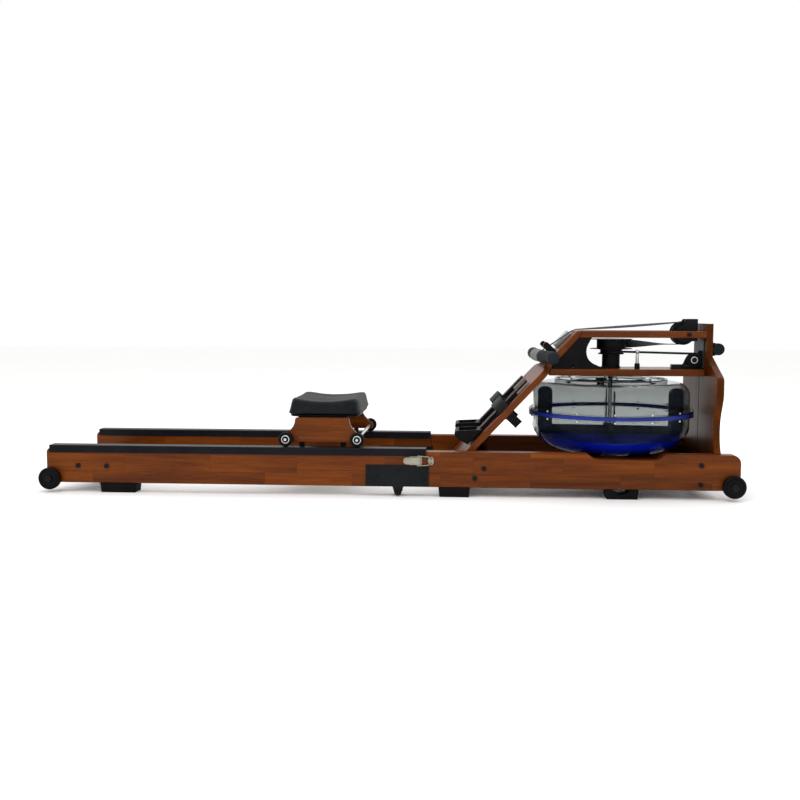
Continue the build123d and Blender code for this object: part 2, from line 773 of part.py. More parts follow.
def axle_bolt(side, x, z):
    """Stepped bolt that a transport wheel turns on: rod, spacer and head."""
    with BuildPart() as bolt:
        add(cylinder_y(side, rail_outer, 3.6 + wheel_width, x, z, axle_r))
        add(cylinder_y(side, rail_outer, 2.6, x, z, 9))
        add(cylinder_y(side, rail_outer + 3.6 + wheel_width, 3.4, x, z, 10))
    return bolt.part


front_bolts = ((290, 85), (264, 56), (913, 101), (912, 45.5))
rear_bolts = ((-921, 79.5), (-834, 79))
with BuildPart() as front_fasteners:
    for side in sides:
        for x, z in front_bolts:
            add(cylinder_y(side, rail_outer, bolt_head, x, z, bolt_head_r))
        add(cylinder_y(side, neck_half, bolt_head, pulley_x + 4, beam_top - beam_thick / 2, 6.5))
        add(axle_bolt(side, front_wheel_x, wheel_z))
    with BuildSketch(board_plane):
        with Locations((up_board(152), 0)):
            with GridLocations(26, 60, 2, 2):
                Circle(4.5)
    extrude(amount=2.6)
save(front_fasteners.part, "front_fasteners")

# ---- latch keepers on the front rails --------------------------------------------
with BuildPart() as latch_keepers:
    for side in sides:
        with BuildSketch(slab_plane(side, rail_outer, 2.4)):
            with BuildLine():
                Polyline((127, latch_z + 4.5), (127, latch_z - 4.5), (139, latch_z - 13),
                         (143.5, latch_z - 6), (143.5, latch_z + 6), (139, latch_z + 13), close=True)
            make_face()
            for flip in sides:
                with Locations((137, latch_z + flip * 6.4)):
                    Circle(2.2, mode=Mode.SUBTRACT)
        extrude(amount=2.4)
        with BuildSketch(slab_plane(side, rail_outer, 4.2)):
            with Locations((129.4, latch_z)):
                Rectangle(2.4, 9)
        extrude(amount=4.2)
save(latch_keepers.part, "latch_keepers")

# ---- footrests --------------------------------------------------------------------
strap_u = up_board(250)
base_thick = 6.0
with BuildPart() as foot_bases:
    with BuildSketch(board_plane):
        for side in sides:
            with Locations((up_board(226), side * foot_v)):
                Rectangle(188, 52)
            with Locations((strap_u, side * foot_v)):
                Rectangle(56, 92)
        for side in sides:
            for edge in sides:
                with Locations((strap_u, side * foot_v + edge * 52)):
                    Rectangle(44, 7, mode=Mode.SUBTRACT)
    extrude(amount=base_thick)
save(foot_bases.part, "foot_bases")


heel_lift = (base_thick + 0.4) / math.sin(slope)


def heel_outline():
    """Side outline of a heel cup: level top edge, round toe, back on the board."""
    with BuildSketch() as outline:
        with BuildLine():
            Polyline((board_x(190) - heel_lift, 190), (214, 187))
            Spline((214, 187), (203, 178), (212, 163), tangents=((-1, -0.1), (0.8, -0.9)))
            Polyline((212, 163), (board_x(145) - heel_lift, 145), (board_x(190) - heel_lift, 190))
        make_face()
    return outline.sketch_local


cup_width = 96.0
for side in sides:
    middle = side * foot_v
    with BuildPart() as footplate:
        # sliding tongue, pierced by two rows of holes
        with BuildSketch(board_plane.offset(base_thick + 0.3)):
            with Locations((up_board(246), middle)):
                RectangleRounded(228, 44, 8)
            with Locations((up_board(304), middle)):
                with GridLocations(15, 20, 7, 2):
                    Circle(3.4, mode=Mode.SUBTRACT)
        extrude(amount=5.5)
        # heel cup, hollowed from above
        with BuildSketch(across(middle + cup_width / 2)):
            add(heel_outline())
        extrude(amount=cup_width)
        with BuildSketch(across(middle + cup_width / 2 - 5)):
            with BuildLine():
                Polyline((board_x(194) - 22, 200), (221, 200), (213, 180), (219, 170),
                         (board_x(150) - 17, 154), (board_x(194) - 22, 191), close=True)
            make_face()
        extrude(amount=cup_width - 10, mode=Mode.SUBTRACT)
    save(footplate.part, "footplate_" + side_names[side])

# Webbing over each foot, through the board's slots, with the tail hanging behind.
strap_rise = 34.0
with BuildPart() as foot_straps:
    for side in sides:
        middle = side * foot_v
        strap_plane = Plane(
            origin=board_plane.from_local_coords(Vector(strap_u - 19, middle, 0)),
            x_dir=(0, -1, 0),
            z_dir=board_plane.x_dir,
        )
        with BuildSketch(strap_plane):
            with BuildLine():
                Line((-52, board_thick + 4), (-52, -12))
                Spline((-52, -12), (-30, -strap_rise), (30, -strap_rise), (52, -12),
                       tangents=((0, -1), (0, 1)))
                Line((52, -12), (52, board_thick + 4))
                Line((52, board_thick + 4), (-52, board_thick + 4))
            trace(line_width=2.4)
        extrude(amount=38)
        with BuildSketch(across(middle + 1.2)):
            tail = board_plane.from_local_coords(Vector(strap_u - 4, 0, -board_thick - 29))
            with Locations(Location((tail.X, tail.Z), board_angle)):
                RectangleRounded(30, 48, 12)
        extrude(amount=2.4)
save(foot_straps.part, "foot_straps")

# ==================================== handle ======================================
handle_middle = Vector(handle_x, 0, handle_z)
band_half = 62.0


def handle_axis(side):
    """Direction of the handle's band (0), or of the grip on one side, pointing at the far side."""
    lean = math.radians(handle_skew - side * handle_bend)
    return Vector(-math.sin(lean), math.cos(lean), 0)


def handle_section(side, distance):
    """Plane square to the handle, at a distance from its middle."""
    elbow = handle_middle + handle_axis(0) * side * band_half
    origin = elbow + handle_axis(side) * (distance - side * band_half)
    return Plane(origin=origin, x_dir=(0, 0, 1), z_dir=handle_axis(side))


bar_r = 12.0
grip_bar_r = 11.6
with BuildPart() as handle_bar:
    with BuildSketch(handle_section(0, -band_half)):
        Circle(bar_r)
    extrude(amount=2 * band_half)
    for side in sides:
        with BuildSketch(handle_section(side, side * (band_half - 1))):
            Circle(grip_bar_r)
        extrude(amount=side * (handle_length / 2 - 4 - band_half + 1))
save(handle_bar.part, "handle_bar")

grip_start = band_half + 1.2
with BuildPart() as handle_grips:
    for side in sides:
        with BuildSketch(handle_section(side, side * grip_start)):
            Circle(handle_grip_r)
        extrude(amount=side * (handle_length / 2 - grip_start))
    ends = handle_grips.faces().filter_by(GeomType.PLANE)
    outer_ends = ends.filter_by(lambda f: abs(f.center().Y) > band_half + 20)
    fillet(outer_ends.edges(), radius=8)
    for side in sides:
        with BuildSketch(handle_section(side, side * (grip_start - 1))):
            Circle(grip_bar_r)
        extrude(amount=side * (handle_length / 2 - 4 - grip_start + 1), mode=Mode.SUBTRACT)
save(handle_grips.part, "handle_grips")

with BuildPart() as handle_band:
    with BuildSketch(handle_section(0, -band_half + 1.2)):
        Circle(handle_grip_r + 0.5)
        Circle(bar_r, mode=Mode.SUBTRACT)
    extrude(amount=2 * band_half - 2.4)
save(handle_band.part, "handle_band")

# Strap lead from the neck's top edge down to the handle; it pays out when pulled.
with BuildPart() as strap_lead:
    with BuildSketch(across(strap_width / 2)):
        with BuildLine():
            top = board_plane.from_local_coords(Vector(up_board(strap_edge_z) - 7, 0, 2.4))
            low = board_plane.from_local_coords(Vector(up_board(handle_z) + 17, 0, 14))
            end = handle_middle + (Vector(low.X, 0, low.Z) - handle_middle).normalized() * 21.2
            Polyline((strap_edge_x - 2.2, strap_edge_z - 0.6), (top.X, top.Z), (low.X, low.Z),
                     (end.X, end.Z))
        trace(line_width=strap_thick)
    extrude(amount=strap_width)
save(strap_lead.part, "strap_lead")

# ================================ rear section ====================================
rear_stop = joint_x - joint_gap
slot_half = arm_thick / 2 + fold_clearance
with BuildPart() as rear_rails:
    for side in sides:
        with BuildSketch(across(side * rail_mid + rail_thick / 2)):
            with BuildLine():
                Polyline((rear_end + 6, rail_bottom), (rear_stop, rail_bottom), (rear_stop, rail_top),
                         (rear_end + 14, rail_top))
                RadiusArc((rear_end + 14, rail_top), (rear_end, rail_top - 14), -14)
                Line((rear_end, rail_top - 14), (rear_end, rail_bottom + 6))
                RadiusArc((rear_end, rail_bottom + 6), (rear_end + 6, rail_bottom), -6)
            make_face()
        extrude(amount=rail_thick)
    low_edges = rear_rails.edges().filter_by(Axis.X).filter_by(lambda e: e.length > 150)
    fillet(low_edges.group_by(Axis.Z)[0], radius=2.5)
    for side in sides:
        with BuildSketch(across(side * rail_mid + slot_half)):
            with Locations(((hinge_x - 2 + rear_stop + 2) / 2, (rail_bottom - 2 + arm_top + 1.5) / 2)):
                Rectangle(rear_stop - hinge_x + 4, arm_top - rail_bottom + 3.5)
        extrude(amount=2 * slot_half, mode=Mode.SUBTRACT)
save(rear_rails.part, "rear_rails")

# Running tracks: channels over the rear rails, rounded along their outer corners.
track_start = -1008.0
track_end = 121.0
with BuildPart() as track_caps:
    for side in sides:
        with BuildSketch(Plane.YZ.offset(track_start)):
            half = rail_thick / 2 + cap_wall
            with Locations((side * rail_mid, cap_top - (cap_height + cap_skirt) / 2)):
                Rectangle(2 * half, cap_height + cap_skirt)
            with Locations((side * rail_mid, rail_top - cap_skirt / 2)):
                Rectangle(rail_thick, cap_skirt, mode=Mode.SUBTRACT)
            corners = vertices().group_by(Axis.Y)[-1]
            fillet(corners, radius=3)
        extrude(amount=track_end - track_start)
save(track_caps.part, "track_caps")

with BuildPart() as rear_cross_board:
    with BuildSketch(across(rail_inner - 0.2)):
        with Locations((-877.5, 79.3)):
            RectangleRounded(128, 20, 2)
    extrude(amount=2 * rail_inner - 0.4)
save(rear_cross_board.part, "rear_cross_board")


def hinge_plate_outline():
    """Outline of a hinge plate with its rounded ear under the rail."""
    with BuildSketch() as outline:
        with BuildLine():
            Polyline((hinge_x - 16, 29), (-56, 29), (-56, 93), (129, 93), (129, 29), (hinge_x + 16, 29))
            Line((hinge_x + 16, 29), (hinge_x + 11.5, hinge_z))
            ThreePointArc((hinge_x + 11.5, hinge_z), (hinge_x, hinge_z - 11.5), (hinge_x - 11.5, hinge_z))
            Line((hinge_x - 11.5, hinge_z), (hinge_x - 16, 29))
        make_face()
        with Locations((hinge_x, hinge_z)):
            Circle(hinge_pin_r, mode=Mode.SUBTRACT)
    return outline.sketch_local


with BuildPart() as hinge_plates:
    for side in sides:
        for face in (rail_inner - plate_thick, rail_outer):
            with BuildSketch(slab_plane(side, face, plate_thick)):
                add(hinge_plate_outline())
            extrude(amount=plate_thick)
save(hinge_plates.part, "hinge_plates")

hinge_screws = ((-48, 83), (-22, 57), (42, 77), (73, 45), (121, 84), (115, 47))
with BuildPart() as rear_fasteners:
    for side in sides:
        for x, z in rear_bolts:
            add(cylinder_y(side, rail_outer, bolt_head, x, z, bolt_head_r))
        for x, z in hinge_screws:
            add(cylinder_y(side, rail_outer + plate_thick, 2.2, x, z, 5))
        add(axle_bolt(side, rear_wheel_x, wheel_z))
        # hinge pin, headed at both ends
        low = rail_inner - plate_thick - 3
        high = rail_outer + plate_thick + 3
        add(cylinder_y(side, low, high - low, hinge_x, hinge_z, hinge_pin_r))
        for cap in (low, high - 3):
            add(cylinder_y(side, cap, 3, hinge_x, hinge_z, 8))
save(rear_fasteners.part, "rear_fasteners")

# ---- over-centre latches: base and lever on the rear rail, wire bail over the joint ---
lever_pivot_x = 103.5
pivot_rise = 4.8            # height of the lever's pivot off the rail's face
bail_pin_x = 96.0
bail_rise = 6.8
wire_r = 1.3
wire_half = 14.9
lever_half = 10.0
pin_r = 1.5
with BuildPart() as latch_bases:
    for side in sides:
        start = side * rail_outer
        with BuildSketch(slab_plane(side, rail_outer, 1.6)):
            with Locations((90, latch_z)):
                RectangleRounded(38, 25, 4)
        extrude(amount=1.6)
        for ear in sides:
            with BuildSketch(Plane.XY.offset(latch_z + ear * 11.2 - 0.8)):
                with Locations((lever_pivot_x, start + side * 3.6)):
                    Rectangle(9, 7.2)
            extrude(amount=1.6)
        with BuildSketch(Plane.XY.offset(latch_z - 12)):
            with Locations((lever_pivot_x, start + side * pivot_rise)):
                Circle(pin_r)
        extrude(amount=24)
save(latch_bases.part, "latch_bases")

for side in sides:
    start = side * rail_outer
    with BuildPart() as latch_lever:
        with BuildSketch(slab_plane(side, rail_outer + 5.6, 2.4)):
            with Locations((80, latch_z)):
                SlotOverall(50, 2 * lever_half)
            with Locations((94.5, latch_z)):
                Rectangle(22, 2 * lever_half)
        extrude(amount=2.4)
        with BuildSketch(Plane.XY.offset(latch_z - lever_half)):
            with Locations((lever_pivot_x, start + side * pivot_rise)):
                Circle(2.8)
        extrude(amount=2 * lever_half)
        with BuildSketch(Plane.XY.offset(latch_z - lever_half - 1)):
            with Locations((lever_pivot_x, start + side * pivot_rise)):
                Circle(pin_r + running_fit)
        extrude(amount=2 * lever_half + 2, mode=Mode.SUBTRACT)
    save(latch_lever.part, "latch_lever_" + side_names[side])
    with BuildPart() as latch_bail:
        wire_y = start + side * bail_rise
        with BuildLine() as wire_route:
            FilletPolyline(
                (bail_pin_x, wire_y, latch_z + lever_half + 0.3),
                (bail_pin_x, wire_y, latch_z + wire_half),
                (131, wire_y, latch_z + wire_half - 3),
                (131, wire_y, latch_z - wire_half + 3),
                (bail_pin_x, wire_y, latch_z - wire_half),
                (bail_pin_x, wire_y, latch_z - lever_half - 0.3),
                radius=2.4,
            )
        with BuildSketch(Plane(origin=wire_route.line @ 0, z_dir=wire_route.line % 0)):
            Circle(wire_r)
        sweep(path=wire_route.line)
    save(latch_bail.part, "latch_bail_" + side_names[side])

# ==================================== seat =========================================
wheel_xs = (seat_x - seat_wheel_span / 2, seat_x + seat_wheel_span / 2)
with BuildPart() as seat_cushion:
    with BuildSketch(Plane.XY.offset(cushion_bottom)):
        with Locations((seat_x, 0)):
            RectangleRounded(cushion_length, cushion_width, 30)
    with BuildSketch(Plane.XY.offset(cushion_top)):
        with Locations((seat_x, 0)):
            RectangleRounded(cushion_length - 20, cushion_width - 18, 26)
    loft()
    fillet(seat_cushion.faces().sort_by(Axis.Z)[-1].edges(), radius=9)
save(seat_cushion.part, "seat_cushion")

seat_board_top = 219.0
seat_board_bottom = 153.5
with BuildPart() as seat_base:
    with BuildSketch(Plane.XY.offset(cushion_bottom - 6.3)):
        with Locations((seat_x, 0)):
            RectangleRounded(188, cushion_width - 60, 16)
    extrude(amount=6)
    for side in sides:
        with BuildSketch(Plane.XY.offset(seat_board_top - 14)):
            with Locations((seat_x, side * (seat_board_y - board_thick / 2 - 10))):
                Rectangle(150, 20)
        extrude(amount=cushion_bottom - 6.3 - seat_board_top + 14)
save(seat_base.part, "seat_base")

with BuildPart() as seat_boards:
    for side in sides:
        with BuildSketch(across(side * seat_board_y + board_thick / 2)):
            with BuildLine():
                Polyline((seat_x - 78, seat_board_top + 6), (seat_x + 78, seat_board_top + 6),
                         (seat_x + 81, seat_board_top + 1))
                Spline((seat_x + 81, seat_board_top + 1), (seat_x + 90, 195), (seat_x + 118, 167),
                       tangents=((0, -1), (1, -1)))
                Polyline((seat_x + 118, 167), (seat_x + 104, seat_board_bottom),
                         (seat_x - 104, seat_board_bottom), (seat_x - 118, 167))
                Spline((seat_x - 118, 167), (seat_x - 90, 195), (seat_x - 81, seat_board_top + 1),
                       tangents=((1, 1), (0, 1)))
                Line((seat_x - 81, seat_board_top + 1), (seat_x - 78, seat_board_top + 6))
            make_face()
        extrude(amount=board_thick)
    for x in wheel_xs:
        with BuildSketch(across(rail_outer)):
            with Locations((x, seat_wheel_z)):
                Circle(axle_r)
        extrude(amount=2 * rail_outer, mode=Mode.SUBTRACT)
save(seat_boards.part, "seat_boards")

seat_wheel_y = seat_board_y + board_thick / 2 + 2 + 10
with BuildPart() as seat_axles:
    for x in wheel_xs:
        with BuildSketch(across(seat_wheel_y + 12)):
            with Locations((x, seat_wheel_z)):
                Circle(axle_r)
        extrude(amount=2 * seat_wheel_y + 24)
    for x in wheel_xs:
        for side in sides:
            with BuildSketch(slab_plane(side, seat_wheel_y + 10.6, 3)):
                with Locations((x, seat_wheel_z)):
                    RegularPolygon(radius=7.5, side_count=6)
            extrude(amount=3)
save(seat_axles.part, "seat_axles")

# Guide blocks that keep the seat centred on the tracks.
with BuildPart() as seat_guides:
    for side in sides:
        for end in sides:
            with BuildSketch(across(side * (rail_inner - 6.5) + 4)):
                with Locations((seat_x + end * 62, seat_board_bottom - 8)):
                    RectangleRounded(16, 15.6, 3)
            extrude(amount=8)
save(seat_guides.part, "seat_guides")

for x, end_name in zip(wheel_xs, ("rear", "front")):
    with BuildPart() as seat_wheels:
        for side in sides:
            with BuildSketch(across(side * seat_wheel_y + 10)):
                with Locations((x, seat_wheel_z)):
                    Circle(seat_wheel_r)
                    Circle(axle_r + running_fit, mode=Mode.SUBTRACT)
            extrude(amount=20)
        rims = seat_wheels.edges().filter_by(GeomType.CIRCLE).filter_by(lambda e: e.radius > 20)
        fillet(rims, radius=3.5)
    save(seat_wheels.part, "seat_wheels_" + end_name)

# =============================== transport wheels ====================================
for x, end_name in ((rear_wheel_x, "rear"), (front_wheel_x, "front")):
    with BuildPart() as transport_wheels:
        for side in sides:
            with BuildSketch(across(side * wheel_mid + wheel_width / 2)):
                with Locations((x, wheel_z)):
                    Circle(wheel_r)
                    Circle(axle_r + running_fit, mode=Mode.SUBTRACT)
            extrude(amount=wheel_width)
            for face in sides:
                with BuildSketch(across(side * wheel_mid + face * wheel_width / 2 + 2)):
                    with Locations((x, wheel_z)):
                        Circle(24)
                        Circle(13, mode=Mode.SUBTRACT)
                extrude(amount=4, mode=Mode.SUBTRACT)
        rims = transport_wheels.edges().filter_by(GeomType.CIRCLE).filter_by(lambda e: e.radius > 30)
        fillet(rims, radius=4)
    save(transport_wheels.part, end_name + "_wheels")
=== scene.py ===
import math

import bmesh
import bpy
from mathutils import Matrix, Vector


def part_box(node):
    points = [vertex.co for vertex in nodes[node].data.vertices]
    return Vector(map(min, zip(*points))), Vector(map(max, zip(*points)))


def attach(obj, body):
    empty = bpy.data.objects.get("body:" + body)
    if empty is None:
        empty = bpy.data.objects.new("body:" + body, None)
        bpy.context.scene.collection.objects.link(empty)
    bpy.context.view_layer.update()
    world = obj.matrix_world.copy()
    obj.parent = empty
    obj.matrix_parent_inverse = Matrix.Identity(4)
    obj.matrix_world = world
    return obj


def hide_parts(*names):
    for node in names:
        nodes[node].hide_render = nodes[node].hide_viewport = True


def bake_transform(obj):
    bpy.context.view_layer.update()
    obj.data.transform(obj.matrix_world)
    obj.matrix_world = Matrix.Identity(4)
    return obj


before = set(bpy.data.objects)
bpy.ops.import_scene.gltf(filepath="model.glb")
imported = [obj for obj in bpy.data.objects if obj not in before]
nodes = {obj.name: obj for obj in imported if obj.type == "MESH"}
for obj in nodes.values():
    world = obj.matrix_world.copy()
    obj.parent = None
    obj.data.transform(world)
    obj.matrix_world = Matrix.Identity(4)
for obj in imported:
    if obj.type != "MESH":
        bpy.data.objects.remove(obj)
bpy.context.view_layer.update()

# Lengths are in metres.
BOARD_SLOPE = math.radians(46.8)    # the footboard's angle to the floor
BOARD_FOOT = (0.2392, 0.132)        # X and Z where the footboard's face starts
HANDLE_SKEW = 4.8                   # degrees by which the hung handle is out of square
HANDLE_BEND = 4.9                   # degrees by which each grip leans from the middle band
STRAP_WIDE = 0.026
STRAP_THICK = 0.002
FOOT_STRAP_UP = 0.1619              # up the footboard's face, to the middle of a foot strap
FOOT_STRAP_OUT = 0.1                # from the middle of the machine to the middle of a foot strap
FOOT_STRAP_HALF = 0.052             # half the width of the arch over a foot
FOOT_STRAP_WIDE = 0.038
FOOT_STRAP_THICK = 0.0022
WHEEL_WIDE = 0.02
SEAT_SIDES = 96                     # points round the seat's outline
PAD_SWELL = 0.0025                  # the most that the simulation may move a point of the cushion


# ------------------------------------------------------------------ places from the frame
def middle(node):
    low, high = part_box(node)
    return (Vector(low) + Vector(high)) / 2


def span(node):
    low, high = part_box(node)
    return Vector(high) - Vector(low)


# ------------------------------------------------------------------ material helpers
def srgb(red, green, blue):
    """A colour given in 0 to 255, as the shader wants it."""
    def linear(value):
        value = value / 255.0
        return value / 12.92 if value <= 0.04045 else ((value + 0.055) / 1.055) ** 2.4
    return (linear(red), linear(green), linear(blue), 1.0)


def scaled(colour, factor, lift=0.0):
    """The colour times a factor plus a lift, capped at white."""
    return tuple(min(1.0, channel * factor + lift) for channel in colour[:3]) + (1.0,)


class Maker:
    """A material with its node tree, and short ways to add and join nodes."""

    def __init__(self, name, **sockets):
        self.material = bpy.data.materials.new(name)
        self.material.use_nodes = True
        self.tree = self.material.node_tree
        self.shader = self.tree.nodes["Principled BSDF"]
        for socket, value in sockets.items():
            self.shader.inputs[socket.replace("_", " ")].default_value = value
        self.coords = self.add("ShaderNodeTexCoord").outputs["Object"]

    def add(self, kind, **inputs):
        node = self.tree.nodes.new(kind)
        for socket, value in inputs.items():
            self.feed(node.inputs[socket.replace("_", " ")], value)
        return node

    def feed(self, target, value):
        """Links another node's output into an input, or sets the input's own value."""
        if isinstance(value, bpy.types.NodeSocket):
            self.tree.links.new(value, target)
        else:
            target.default_value = value

    def mapped(self, scale=(1, 1, 1), rotation=(0, 0, 0), source=None):
        node = self.add("ShaderNodeMapping", Vector=source or self.coords, Scale=scale, Rotation=rotation)
        return node.outputs["Vector"]

    def noise(self, vector, scale, detail=3.0, roughness=0.55, distortion=0.0):
        node = self.add("ShaderNodeTexNoise", Vector=vector, Scale=scale, Detail=detail,
                        Roughness=roughness, Distortion=distortion)
        return node.outputs["Fac"]

    def ramp(self, value, *stops):
        node = self.add("ShaderNodeValToRGB", Fac=value)
        elements = node.color_ramp.elements
        while len(elements) < len(stops):
            elements.new(0.5)
        for element, (place, colour) in zip(elements, stops):
            element.position = place
            element.color = colour
        return node.outputs["Color"]

    def spread(self, value, low, high):
        node = self.add("ShaderNodeMapRange", Value=value, To_Min=low, To_Max=high)
        return node.outputs["Result"]

    def multiplied(self, share, first, second):
        """The first colour, multiplied by the second as far as the share says."""
        node = self.tree.nodes.new("ShaderNodeMix")
        node.data_type = "RGBA"
        node.blend_type = "MULTIPLY"
        # A mix node keeps its factor at input 0 and its two colours at 6 and 7, with the colour at output 2.
        for socket, value in ((0, share), (6, first), (7, second)):
            self.feed(node.inputs[socket], value)
        return node.outputs[2]

    def maths(self, operation, first, second):
        node = self.tree.nodes.new("ShaderNodeMath")
        node.operation = operation
        for socket, value in zip(node.inputs, (first, second)):
            self.feed(socket, value)
        return node.outputs[0]

    def bump(self, height, distance, strength=1.0, normal=None):
        node = self.add("ShaderNodeBump", Height=height, Distance=distance, Strength=strength)
        if normal is not None:
            self.tree.links.new(normal, node.inputs["Normal"])
        return node.outputs["Normal"]

    def surface(self, colour=None, roughness=None, normal=None):
        for socket, value in (("Base Color", colour), ("Roughness", roughness), ("Normal", normal)):
            if value is not None:
                self.tree.links.new(value, self.shader.inputs[socket])
        return self.material


# ------------------------------------------------------------------ materials
def wood(name, rotation=(0, 0, 0), shade=1.0, gloss=1.0):
    """Stained, lacquered hardwood in finger-jointed blocks; its grain runs along local X. A shade below 1
    darkens its colour: painted shade for boards that stand in shadow.
    """
    make = Maker(name, Coat_Weight=0.05 * gloss, Coat_Roughness=0.2, Specular_IOR_Level=0.12 * gloss)
    along = make.mapped(rotation=rotation)
    split = make.add("ShaderNodeSeparateXYZ", Vector=along).outputs
    sheet = make.add("ShaderNodeCombineXYZ", X=split["X"], Y=make.maths("ADD", split["Y"], split["Z"]))
    # The blocks are 260 by 52 mm, with glue lines of 0.5 mm.
    bricks = make.add("ShaderNodeTexBrick", Vector=sheet.outputs["Vector"], Scale=1.0, Brick_Width=0.26,
                      Row_Height=0.052, Mortar_Size=0.0005, Mortar_Smooth=0.6, Color1=(0.55, 0.55, 0.55, 1),
                      Color2=(1.0, 1.0, 1.0, 1), Mortar=(0.28, 0.28, 0.28, 1))
    bricks.offset = 0.37
    shift = make.add("ShaderNodeVectorMath", Vector=along)
    shift.operation = "ADD"
    make.tree.links.new(bricks.outputs["Color"], shift.inputs[1])
    broad = make.noise(make.mapped((2.2, 26, 26), source=shift.outputs[0]), 1.0, 4.0, 0.6, 0.8)
    fine = make.noise(make.mapped((9, 420, 420), source=shift.outputs[0]), 1.0, 3.0, 0.6)
    pores = make.noise(make.mapped((38, 900, 900), source=shift.outputs[0]), 1.0, 1.0)
    # The shade factor darkens every colour of the figure: painted shade.
    figure = make.ramp(
        broad,
        (0.25, srgb(78 * shade, 31 * shade, 0)),
        (0.5, srgb(108 * shade, 50 * shade, 0)),
        (0.78, srgb(136 * shade, 69 * shade, 2)),
    )
    streaks = make.ramp(fine, (0.3, (0.62, 0.58, 0.55, 1)), (0.62, (1, 1, 1, 1)))
    colour = make.multiplied(0.75, figure, streaks)
    colour = make.multiplied(0.62, colour, bricks.outputs["Color"])
    dark_pores = make.ramp(pores, (0.3, (0.4, 0.36, 0.34, 1)), (0.42, (1, 1, 1, 1)))
    colour = make.multiplied(0.45, colour, dark_pores)
    height = make.maths("ADD", make.maths("MULTIPLY", fine, 0.6), make.maths("MULTIPLY", pores, 0.5))
    joint_line = make.maths("MULTIPLY", bricks.outputs["Fac"], -1.2)
    height = make.maths("ADD", height, joint_line)
    edges = make.add("ShaderNodeBevel", Radius=0.0022)
    edges.samples = 4
    normal = make.bump(height, 0.00022, 0.6, edges.outputs["Normal"])
    return make.surface(colour, make.spread(fine, 0.3, 0.46), normal)


def moulded(name, colour, rough=(0.38, 0.55), grain=900.0, depth=0.00012, coat=0.0, metallic=0.0,
            clear=0.0):
    """Moulded plastic, paint or rubber with a fine texture and a little dust in its colour."""
    make = Maker(name, Metallic=metallic, Coat_Weight=coat, Coat_Roughness=0.2, Specular_IOR_Level=0.14,
                 Transmission_Weight=clear, IOR=1.35)
    cloudy = make.noise(make.coords, 14.0, 4.0, 0.6)
    fine = make.noise(make.coords, grain, 2.0)
    dusty = scaled(colour, 1.5, 0.003)
    tint = make.ramp(cloudy, (0.35, colour), (0.8, dusty))
    return make.surface(tint, make.spread(cloudy, *rough), make.bump(fine, depth, 0.5))


def metal(name, colour, rough=(0.2, 0.38), brush=(900, 60, 900)):
    """Bare metal with fine brush lines."""
    make = Maker(name, Metallic=1.0)
    lines = make.noise(make.mapped(brush), 1.0, 2.0)
    blotch = make.noise(make.coords, 60.0, 3.0)
    tint = make.ramp(blotch, (0.3, scaled(colour, 0.72)), (0.7, colour))
    return make.surface(tint, make.spread(lines, *rough), make.bump(lines, 0.00005, 0.4))


def webbing(name, colour, rotation=(0, 0, 0)):
    """Flat woven strap: ribs across it and a fine twill, with painted highlights on the raised ribs."""
    make = Maker(name, Sheen_Weight=0.1, Sheen_Roughness=0.5, Specular_IOR_Level=0.2)
    ribs = make.add("ShaderNodeTexWave", Vector=make.mapped(rotation=rotation), Scale=230.0, Distortion=0.6)
    ribs.bands_direction = "X"
    twill = make.add("ShaderNodeTexWave", Vector=make.mapped(rotation=rotation), Scale=300.0, Distortion=0.4)
    twill.bands_direction = "DIAGONAL"
    height = make.maths("ADD", ribs.outputs["Fac"], twill.outputs["Fac"])
    # Painted highlight: the colour is up to 2.2 times lighter where the ribs and twill stand highest.
    light = scaled(colour, 2.2, 0.01)
    tint = make.ramp(make.maths("MULTIPLY", height, 0.5), (0.2, colour), (0.9, light))
    return make.surface(tint, make.spread(height, 0.55, 0.8), make.bump(height, 0.00035, 0.7))


def leather(name, colour):
    """Charcoal upholstery skin with a pebble grain."""
    make = Maker(name, Coat_Weight=0.01, Coat_Roughness=0.4, Specular_IOR_Level=0.08)
    pebble = make.add("ShaderNodeTexVoronoi", Vector=make.coords, Scale=620.0)
    pebble.feature = "DISTANCE_TO_EDGE"
    creases = make.noise(make.coords, 46.0, 4.0, 0.6, 0.4)
    cells = make.ramp(pebble.outputs["Distance"], (0.0, (0, 0, 0, 1)), (0.16, (1, 1, 1, 1)))
    worn = scaled(colour, 1.8, 0.004)
    tint = make.ramp(creases, (0.3, colour), (0.75, worn))
    normal = make.bump(cells, 0.00016, 0.55)
    normal = make.bump(creases, 0.0008, 0.35, normal)
    return make.surface(tint, make.spread(creases, 0.4, 0.55), normal)


def clear_plastic(name, colour):
    """Clear moulded tank wall, smoky in faint flow marks; its low IOR keeps reflections inside it weak."""
    make = Maker(name, Transmission_Weight=1.0, IOR=1.12, Roughness=0.0)
    flow = make.noise(make.mapped((3, 3, 12)), 1.0, 3.0, 0.5, 0.6)
    return make.surface(make.ramp(flow, (0.3, colour), (0.8, scaled(colour, 1.06))))


def dyed_water(name, colour):
    """Blue-dyed water, with slow ripples."""
    make = Maker(name, Transmission_Weight=0.15, IOR=1.33, Roughness=0.06, Specular_IOR_Level=0.3)
    ripple = make.noise(make.coords, 16.0, 3.0, 0.5, 0.4)
    tint = make.ramp(ripple, (0.3, colour), (0.75, scaled(colour, 1.4)))
    return make.surface(tint, None, make.bump(ripple, 0.004, 0.4))


